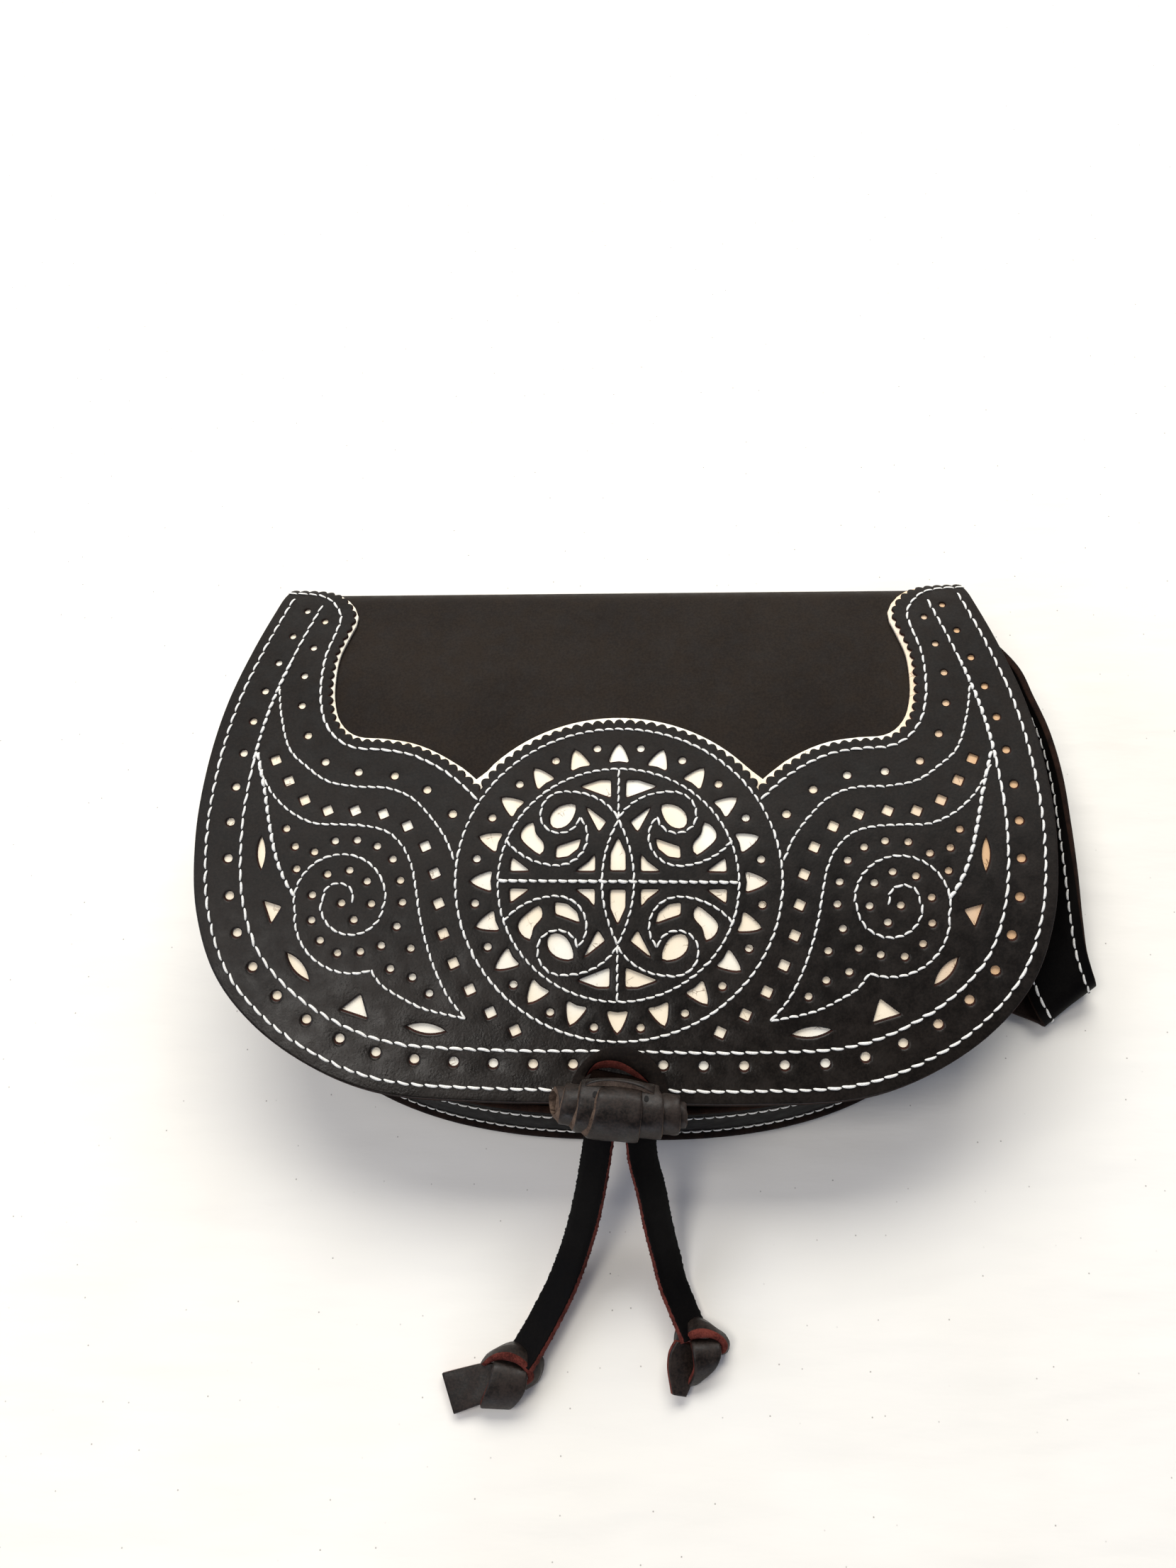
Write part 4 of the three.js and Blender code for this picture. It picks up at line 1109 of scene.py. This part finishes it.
STRAP_SIDE = (  # strap down the right side: upper edge, lower edge, each x, y, z
    ((136.6, 81.8, 28.6), (135.6, 81.8, 4.8)), ((140, 72, 28.2), (137.6, 72, 4.3)),
    ((144.2, 60, 27.2), (139.6, 60, 3.6)), ((147.3, 45, 25.6), (140, 45, 2.8)),
    ((148.9, 28, 23.4), (138.8, 28, 1.8)), ((150.2, 12, 20.6), (135.6, 12, 1.8)),
    ((151.4, -3, 16.8), (132.6, -3.6, 3.4)), ((152.6, -12.6, 13.6), (132.2, -15, 5.2)),
    ((154, -18.8, 11.8), (134.4, -25.8, 5.4)), ((155.2, -22, 9.8), (136.6, -32.2, 5.2)),
    ((155.9, -22.3, 6.6), (138.5, -35, 3.9)), ((154.8, -19.4, 3.1), (138.9, -35.4, 2.3)),
    ((148.9, -14.4, 1.5), (137.3, -34.4, 1.5)),
)


def on_gusset_x(y, z):
    """x of the strap's middle where it lies on the right gusset."""
    rim = face_height(y) - LEATHER - 1.0
    return body_half(y) - GUSSET_LEAN * (z - GUSSET_FOOT) / (rim - GUSSET_FOOT) + 1.8


def strap_rows():
    """The strap's rows of (upper edge, lower edge).

    A tab on the right gusset, a turn, the run down the side, the run under the bag, and the rise on the left.
    """
    width, low, lowest = 24.0, BACK_HEIGHT + LEATHER + 0.6, 2.0
    high = low + width
    rows = [[(on_gusset_x(y, z), y, z) for z in (high, low)] for y in np.linspace(50.0, 80.0, 4)]
    turn_x, turn_y, turn_radius, turn_low = 126.2, 86, 6.2, 4.4
    for share in np.arange(9) / 8:
        a = math.pi - math.radians(137) * share
        x, y = turn_x + turn_radius * math.cos(a), turn_y + turn_radius * math.sin(a)
        z = turn_low + (high - width - turn_low) * (1 - share)
        rows.append(((x, y, z + width), (x, y, z)))
    rows += STRAP_SIDE
    heading, under = math.radians(158.8), 268.0
    d = np.array([math.cos(heading), math.sin(heading), 0])
    top, bottom = (np.array(p) for p in STRAP_SIDE[-1])
    for share in np.arange(1, 9) / 8:
        rows.append((top + d * (under - 5) * share, bottom + d * (under + 4) * share))
    centre = (rows[-1][0][1] + rows[-1][1][1]) / 2 + 4
    fore, aft = centre - width / 2, centre + width / 2
    for x, z in ((-120.6, 1.5), (-123.8, 2.2), (-125.2, 5), (-124.4, 8.4), (-121.2, 12.4)):
        rows.append(((x + 0.6, aft, z), (x - 0.6, fore, z)))
    for z in np.arange(16.4, high, 4):
        rows.append([(-on_gusset_x(y, z) - 0.8, y, z) for y in (aft, fore)])
    rows = np.array([np.concatenate([a, b]) for a, b in rows])
    rows[:, [2, 5]] = np.maximum(rows[:, [2, 5]], lowest)
    return rows


def make_strap():
    """The strap. Its grain side is against the turn of its rows, so its materials are flesh, edge, grain."""
    rows = strap_rows()
    return ribbon("strap", rows[:, :3], rows[:, 3:], STRAP_THICK, [FLESH_M, BROWN_EDGE_M, STRAP_M], 2.0)


def strap_runs():
    """A row of stitches along each edge of the strap, 3.3 mm in, on its grain side."""
    rows = smooth(strap_rows(), 1.0)
    a, b = rows[:, :3], rows[:, 3:]
    across = unit(b - a)
    normal = unit(np.cross(across, np.gradient((a + b) / 2, axis=0)))
    lift = normal * STRAP_THICK / 2
    return [(line + lift, normal, 4.0, 0.85, 5.0) for line in (a + across * 3.3, b - across * 3.3)]


# ---------- toggle ----------

TOGGLE_AT, TOGGLE_TILT = np.array([0.3, -68.5, 50.4]), -4.5  # middle of the roll, degrees anticlockwise
# turns beyond the wide one: x from, x to, radius, reach of the left edge over the top and the far side, thick
TURNS = (
    (-17.9, -13.2, 4.8, 1.6, -0.7, 1.5), (-15.7, -9.6, 5.9, 0.3, 0.6, 1.7), (12.6, 18.3, 5.7, 0.0, 0.0, 1.7),
    (16.4, 20.2, 3.7, 0.0, 0.0, 1.3),
)
WIDE = (-10.7, 13.4, 7.5)  # x from, x to, radius of the wide turn that comes out of the slit
BAND = (-5.5, 7.4, 9.0)  # the same for the narrow turn round it
LIP = (-9.4, 10.6, 0.76)  # the cut end that stands over the band: x from, x to, angle at its middle


def roll_point(x, angle, radius):
    """A point on the toggle: angle from the side that faces away from the thongs, round over the top."""
    tilt = math.radians(TOGGLE_TILT)
    y = radius * np.cos(angle)
    turned = np.stack([math.cos(tilt) * x - math.sin(tilt) * y, math.sin(tilt) * x + math.cos(tilt) * y,
                       radius * np.sin(angle) + 0 * x], axis=-1)
    return turned + TOGGLE_AT


def eased(count):
    """Shares from 0 to 1, closer together at both ends."""
    return 0.5 - 0.5 * np.cos(np.pi * np.linspace(0, 1, count))


def wrapped(name, left, right, radius, start, end, thick, columns, rows, seed, slant, edge=None):
    """Leather wound round the toggle.

    left and right are x over the angle, radius is a function of x share and angle, and start and end are
    angles in radians over the x share. Each cut side slants, so that the inner face reaches out past the
    outer one by slant mm, more towards the thongs than on the far side.
    """
    u, v = eased(columns), eased(rows)
    uu, vv = np.meshgrid(u, v, indexing="ij")
    angle = start(uu) + (end(uu) - start(uu)) * vv
    x = left(angle) * (1 - uu) + right(angle) * uu
    rough = 0.1 * np.sin(3.1 * angle + seed + 4 * uu) + 0.08 * np.sin(7.3 * angle + 2 * seed - 9 * uu)
    r = radius(uu, angle) + rough
    width = np.abs(right(angle) - left(angle))
    rim = np.minimum(np.minimum(uu, 1 - uu) * width, np.minimum(vv, 1 - vv) * r * 5)
    outer = roll_point(x, angle, r - 0.3 * np.exp(-3 * rim))
    low = 0.4 + 0.6 * np.clip(-np.cos(angle), 0, 1) ** 2
    moved = x - slant[0] * low * (1 - uu) ** 6 + slant[1] * low * uu ** 6
    inner = roll_point(moved, angle, r - thick)
    n = columns * rows
    grid = np.arange(n).reshape(columns, rows)

    def quads(g):
        return np.stack([g[:-1, :-1], g[:-1, 1:], g[1:, 1:], g[1:, :-1]], axis=-1).reshape(-1, 4)

    border = np.concatenate([grid[0, :], grid[1:, -1], grid[-1, ::-1][1:], grid[::-1, 0][1:-1]])
    k = len(border)
    verts = np.vstack([outer.reshape(-1, 3), inner.reshape(-1, 3)])
    verts = np.vstack([verts, verts[border], verts[border + n]])
    at = np.arange(k)
    after = (at + 1) % k
    walls = 2 * n + np.column_stack([at, after, after + k, at + k])
    faces = [(quads(grid)[:, ::-1], 0), (quads(grid + n), 1), (walls[:, ::-1], 1)]
    return build(name, verts, faces, [TOGGLE_M, edge or TOGGLE_EDGE_M])


def steady(value):
    """A value that is the same over the whole strip."""
    return lambda u: value + 0 * u


def run_share(a, start, run):
    """Share from 0 to 1 of a run of angle that begins at start; a run below 0 goes the other way."""
    return np.clip((a - start) / run, 0, 1)


def make_turns():
    """The four turns that show beyond the wide one, each a spiral whose outer end lies under the roll."""
    return [wrapped(
        f"toggle_turn_{i + 1}",
        lambda a, x0=x0, over=over, far=far: x0 + over * np.sin(a) + far * np.cos(a),
        lambda a, x1=x1: x1 - 0.5 * np.clip(np.cos(a), 0, 1),
        lambda u, a, radius=radius: radius + 0.09 * (a - 1.6),
        steady(-2.2), steady(2 * np.pi - 2.0),
        thick, columns=12, rows=64, seed=i, slant=(0.8 if radius < 5 else 1.3, 0.3),
    ) for i, (x0, x1, radius, over, far, thick) in enumerate(TURNS)]


def make_core():
    """The roll's middle, seen inside its tips: the strip's narrow end."""
    a = np.linspace(0, 2 * np.pi, 28, endpoint=False)
    sizes = ((-17.4, 1.3), (-17.4, 2.5), (-17.0, 2.7), (19.2, 2.2), (19.6, 2.0), (19.6, 1.0))  # x, radius
    rings = np.stack([roll_point(np.full(len(a), x), a, r) for x, r in sizes])
    return swept("toggle_core", rings[:, ::-1], [TOGGLE_EDGE_M])


def make_wide_turn():
    """The outermost turn of the roll, cut wider than the others."""
    x0, x1, radius = WIDE
    return wrapped(
        "toggle_wide_turn",
        lambda a: x0 + 0.1 - 1.5 * run_share(a, 1.6, 1.5) ** 1.5,
        lambda a: x1 - 1.7 * run_share(a, 1.5, -0.9) ** 2,
        lambda u, a: radius + 0.1 * np.sin(np.pi * u),
        steady(-0.7), steady(5.2),
        1.9, columns=24, rows=72, seed=5, slant=(1.5, 0.4))


def make_lip():
    """The cut end of the wide turn's slit: an arch lifted by the band that comes out under it."""
    x0, x1, middle = LIP

    def lifted(u, a):
        arch = np.sin(np.pi * np.clip(u, 0, 1)) ** 0.55
        return WIDE[2] + 0.15 + 2.3 * arch * np.exp(-((a - middle) / 0.35) ** 2)

    return wrapped(
        "toggle_lip", steady(x0), steady(x1), lifted,
        steady(-0.6), lambda u: middle + 0.14 * (2 * u - 1) ** 2 + 0.08 * u,
        2.3, columns=26, rows=30, seed=11, slant=(0.0, 0.0), edge=LIP_EDGE_M)


def make_neck():
    """The strip's root: out of the slit and down the roll's far side, hidden but for its upper face, which is
    nearly black all over as painted shade of the gap above the lip.
    """
    left = ((-7.4, -56.6, 38.6), (-7.8, -58.4, 41.4), (-8.4, -60.4, 45.5), (-8.6, -61.3, 50.0))
    right = ((9.4, -59.6, 38.2), (9.8, -61.4, 41.0), (10.0, -62.9, 45.0), (10.0, -63.6, 50.0))
    return ribbon("toggle_neck", left, right, 2.0, [SHADE_M, SHADE_M, SHADE_M], 1.0)


def make_band():
    """The narrow turn round the wide one's middle, whose left edge leans out towards the thongs."""
    x0, x1, radius = BAND
    return wrapped(
        "toggle_band_turn",
        lambda a: x0 + 0.6 * run_share(a, 1.5, -0.7) - 2.7 * run_share(a, 1.7, 1.4) ** 1.4,
        lambda a: x1 - 0.5 * run_share(a, 1.5, -0.7) - 0.6 * run_share(a, 1.7, 1.4),
        lambda u, a: radius + 0.12 * np.sin(np.pi * u) - 1.6 * np.clip((1.3 - a) / 0.6, 0, 1.2),
        steady(0.3), steady(5.0),
        1.7, columns=18, rows=64, seed=9, slant=(1.8, 0.35))


def make_slit_ends():
    """The ends of the slit beside the band: flat dark discs on the wide turn, painted shade of the openings.
    """
    a = np.linspace(0, 2 * np.pi, 10, endpoint=False)
    loops = [roll_point(x + w * np.cos(a), turn + h * np.sin(a), WIDE[2] + 0.22)
             for x, turn, w, h in ((-6.1, 1.22, 0.8, 0.13), (8.4, 1.2, 0.7, 0.12))]
    return build("toggle_slit_ends", np.vstack(loops), [(np.arange(20).reshape(2, 10), 0)], [HOLE_SHADE_M])


# ---------- knots ----------


def collar_rings(foot, rim_out, rim_in):
    """Rings of a knot's collar: a slanting wall from its foot up to a cut rim, and down inside."""
    lines = []
    for line in (foot, rim_out, rim_in):
        fine = smooth(line, 0.5)
        lines.append(places(fine, np.arange(len(fine)), np.linspace(0, len(fine) - 1, 26)))
    foot, rim_out, rim_in = lines
    under = rim_in + (0, 0, -2.6)
    bulge = (foot + rim_out) / 2 + (rim_out - rim_in) * 0.25 + (0, 0, 0.5)
    return np.stack([
        foot, bulge, rim_out * 0.94 + foot * 0.06, rim_out * 0.85 + rim_in * 0.15 + (0, 0, 0.25),
        rim_in * 0.8 + rim_out * 0.2 + (0, 0, 0.25), rim_in + (0, 0, -0.3), under, foot * 0.6 + under * 0.4,
    ], axis=1)


KNOTS = {  # at: x, y of a knot; the other points are from there, x, y, z; front and end: left and right edge
    "left": {
        "at": (-32.0, -143.0),
        "foot": (
            (-9.6, 3.4, 1.5), (-8.6, 5.4, 2), (-5.6, 7.4, 2.6), (0.1, 9.6, 3), (5, 8.2, 3), (9.3, 5.4, 2.6),
            (9.6, 2.4, 2.2), (7.8, -1.6, 1.6), (4.2, -3.9, 1),
        ),
        "out": (
            (-9.3, 3.2, 4.6), (-6.6, 5.5, 7), (-3.6, 6.7, 8.4), (0, 6.7, 9), (3.4, 5.2, 8.8), (6, 2.6, 8),
            (7, 0, 6.6), (5.6, -1.6, 5), (3.4, -2.6, 3.4),
        ),
        "in": (
            (-8.2, 2.6, 4.4), (-6, 4, 6.6), (-3.4, 4.7, 8), (-0.2, 4.5, 8.6), (2.6, 3.4, 8.3),
            (4.6, 1.4, 7.5), (5.1, -0.4, 6.2), (4, -1.4, 4.8), (2.6, -2, 3.2),
        ),
        "front": (
            ((-5.4, 4.6, 5), (4.6, 2.6, 5)), ((-5.6, 2.6, 7.2), (5, 0.6, 7)),
            ((-6.3, -0.6, 7.8), (4.9, -1.9, 7)), ((-7.5, -4, 7.2), (3.8, -4.6, 6)),
            ((-8.7, -6.7, 5.4), (1.4, -7.2, 4.4)), ((-9.2, -7.9, 3), (-0.2, -8.1, 2.4)),
            ((-8.2, -7.4, 1.3), (0, -7, 1.3)),
        ),
        "end": (
            ((-3, 4, 3.2), (-5, -6.6, 3.2)), ((-9, 3.4, 3), (-9.4, -8, 3)),
            ((-15, 2, 2.4), (-13.6, -9.5, 2.3)), ((-21.4, 0.3, 1.8), (-17.1, -10.8, 1.5)),
        ),
    },
    "right": {
        "at": (25.0, -135.0),
        "foot": (
            (-7.8, 0.4, 1.2), (-7.9, 3.2, 1.8), (-7.2, 6.2, 2.3), (-5.4, 8.6, 3), (-1.5, 9.9, 3.2),
            (1.8, 8.8, 3), (5, 6.7, 2.6), (8.2, 4.5, 2.2), (8.9, 2, 1.8), (8, -0.4, 1.4), (6.4, -1, 1),
        ),
        "out": (
            (-6.6, 1.2, 4.4), (-5.2, 3.6, 6), (-2.8, 5.6, 7.8), (0.4, 6.5, 8.6), (4, 5.9, 8.5), (7, 4.2, 7.8),
            (8.3, 2, 6.6), (7.6, 0, 5), (6.2, -0.6, 3.6),
        ),
        "in": (
            (-5.6, 0.6, 4.2), (-4.2, 2.4, 5.8), (-2, 3.5, 7.4), (0.6, 4, 8.2), (3.6, 3.9, 8), (5.6, 2.9, 7.2),
            (6.4, 1.4, 6.2), (6.2, 0.2, 4.8), (5.4, 0, 3.4),
        ),
        "front": (
            ((-3, 2.8, 5), (5.8, 3.2, 5)), ((-2.6, 1, 7), (6.2, 1, 6.8)), ((-2.2, -1.6, 7.4), (6, -1.2, 6.4)),
            ((-2, -4.4, 6.6), (4.5, -3.8, 5.2)), ((-2.8, -7, 4.8), (1.8, -6.2, 3.8)),
            ((-4, -8.9, 2.6), (-1.2, -8.2, 2.2)), ((-4, -8, 1.3), (-1.4, -7.4, 1.3)),
        ),
        "end": (
            ((-7.4, 3, 6.4), (-0.8, 2, 2.2)), ((-9.2, 0, 6.2), (-1.2, -1, 2.2)),
            ((-9.8, -4.4, 5.4), (-1.8, -5.4, 2)), ((-9.2, -8.6, 4.6), (-3.2, -9.6, 1.8)),
            ((-8.6, -11.7, 4), (-4.6, -12.4, 1.7)),
        ),
    },
}


def make_knot(side):
    """An overhand knot in the flat thong: a collar over the thong, the turn inside it, and the free end."""
    k = KNOTS[side]
    place = np.array([*k["at"], 0.0])
    rings = collar_rings(k["foot"], k["out"], k["in"]) + place
    made = [swept(f"knot_collar_{side}", rings, [TOGGLE_M, EDGE_M], [0, 0, 1, 1, 1, 1, 1, 1])]
    materials = [TOGGLE_M, EDGE_M, EDGE_M]
    for part in ("front", "end"):
        rows = np.array(k[part], float) + place
        made.append(ribbon(f"knot_{part}_{side}", rows[:, 0], rows[:, 1], 2.2, materials, 0.9))
    return made


# ---------- build the bag ----------


def finish_piece(obj, slot, *nodes):
    """Attaches a piece to the root body and hides the nodes of the CAD model that it replaces; slot is not
    used.
    """
    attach(obj, "root")
    if nodes:
        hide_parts(*nodes)


finish_piece(make_flap(), "leather", "back_and_flap")
finish_piece(make_underlay(), "cream_leather", "flap_underlay")
finish_piece(make_overlay(), "leather", "flap_overlay")
finish_piece(make_patch(), "leather", "closure_patch")
finish_piece(make_gusset(), "leather", "gusset")
finish_piece(make_front(), "leather", "front_panel")
finish_piece(stitched("border_stitches", border_runs()), "cream_leather")
finish_piece(stitched("figure_stitches", figure_runs()), "cream_leather")
finish_piece(stitched("medallion_stitches", medallion_runs()), "cream_leather")
finish_piece(make_thong("left", 38), "strap_leather", "tail_left")
finish_piece(make_thong("right", -38), "strap_leather", "tail_right")
finish_piece(make_strap(), "strap_leather", "strap")
finish_piece(stitched("gusset_stitches", gusset_runs()), "cream_leather")
finish_piece(stitched("strap_stitches", strap_runs()), "cream_leather")
finish_piece(make_core(), "toggle_leather", "toggle_roll")
for obj in make_turns():
    finish_piece(obj, "toggle_leather")
for make in (make_wide_turn, make_lip, make_neck, make_slit_ends, make_slit_wall):
    finish_piece(make(), "toggle_leather")
finish_piece(make_band(), "toggle_leather", "toggle_band")
for side in ("left", "right"):
    first, *others = make_knot(side)
    finish_piece(first, "toggle_leather", f"knot_{side}")
    for obj in others:
        finish_piece(obj, "toggle_leather")

# ---------- surface, light and camera ----------


def make_floor():
    """Matt white paper, a little crumpled across, with a few specks of dust."""
    m, tree, bsdf, at = material("matt white paper")
    paper = ramp(tree, noise(tree, at, 120, 3, 0.5), (0.3, "#f5f1e7"), (0.7, "#fcf9f1"))
    grains = voronoi(tree, at, 13, "F1", voronoi_dimensions="2D")
    dot = spread_value(tree, grains["Distance"], 0.006, 0.024, 1, 0)
    some = spread_value(tree, grains["Color"], 0.5, 0.75, 0, 0.9)
    fold = noise(tree, at, 90, 4, 0.55, (0.35, 1.0, 1.0))
    crease = noise(tree, at, 30, 5, 0.6, (0.3, 1.0, 1.0))
    give(tree, bsdf, {
        "Base Color": blended(tree, worked(tree, "MULTIPLY", dot, some), paper, colour("#8a8074")),
        "Roughness": 0.9, "Normal": bumps(tree, (fold, 0.6, 6.0), (crease, 0.35, 1.6)),
    })
    mesh = bpy.data.meshes.new("surface")
    size = 3.0
    corners = [(-size, -size, 0), (size, -size, 0), (size, size, 0), (-size, size, 0)]
    mesh.from_pydata(corners, [], [(0, 1, 2, 3)])
    mesh.materials.append(m)
    placed("surface", mesh)


def add_light(name, place, target, size, power, code, size_y):
    """A rectangular light of size by size_y metres at a place, turned to a target, in watts."""
    data = bpy.data.lights.new(name, "AREA")
    data.shape = "RECTANGLE"
    data.size = size
    data.size_y = size_y
    data.energy = power
    data.color = colour(code)[:3]
    obj = placed(name, data)
    obj.location = place
    obj.rotation_euler = (Vector(target) - Vector(place)).to_track_quat("-Z", "Y").to_euler()


def make_world():
    """Weak, even, bluish light from all round."""
    world = bpy.data.worlds.new("soft studio")
    world.use_nodes = True
    give(world.node_tree, world.node_tree.nodes["Background"], {"Color": colour("#d3dfff"), "Strength": 0.13})
    bpy.context.scene.world = world


CAMERA = {"elevation": 68.81, "azimuth": 8.09, "roll": -7.61, "away": 381.3}  # degrees, mm
CAMERA_AIM = (-10.0, 33.9, 43.8)


def make_camera():
    """Hand-held telephone view from in front and above: 27 mm lens on a 36 mm frame."""
    data = bpy.data.cameras.new("camera")
    data.sensor_width = 36.0
    data.lens = 27.0
    data.clip_start = 0.01
    lift, swing, roll = (math.radians(CAMERA[key]) for key in ("elevation", "azimuth", "roll"))
    back = Vector((math.sin(swing) * math.cos(lift), -math.cos(swing) * math.cos(lift), math.sin(lift)))
    level = Vector((math.cos(swing), math.sin(swing), 0.0))
    right = level * math.cos(roll) + back.cross(level) * math.sin(roll)
    turn = Matrix((right, back.cross(right), back)).transposed().to_4x4()
    place = (Vector(CAMERA_AIM) + Vector(SHIFT) + back * CAMERA["away"]) * 0.001
    obj = placed("camera", data)
    obj.matrix_world = Matrix.Translation(place) @ turn
    bpy.context.scene.camera = obj


make_floor()
make_world()
add_light("window", (-0.1, 1.42, 1.42), (0, 0, 0), 2.0, 44.0, "#fffdf8", 0.9)
add_light("low window", (0.0, 2.0, 0.75), (0, 0, 0), 2.2, 9.0, "#fffdfa", 0.6)
add_light("ceiling", (-0.56, -0.1, 1.4), (0, 0, 0), 0.5, 6.5, "#fffaf4", 0.5)
add_light("left wall", (-1.7, 0.0, 0.9), (0, 0, 0), 1.6, 9.0, "#dfe7ff", 0.8)
add_light("right wall", (1.7, 0.0, 0.9), (0, 0, 0), 1.6, 3.0, "#e2e9ff", 0.8)
add_light("low front", (0.0, -1.6, 0.26), (0, 0, 0.03), 1.6, 7.0, "#f4f6ff", 0.3)
make_camera()
bpy.context.scene.view_settings.view_transform = "Standard"
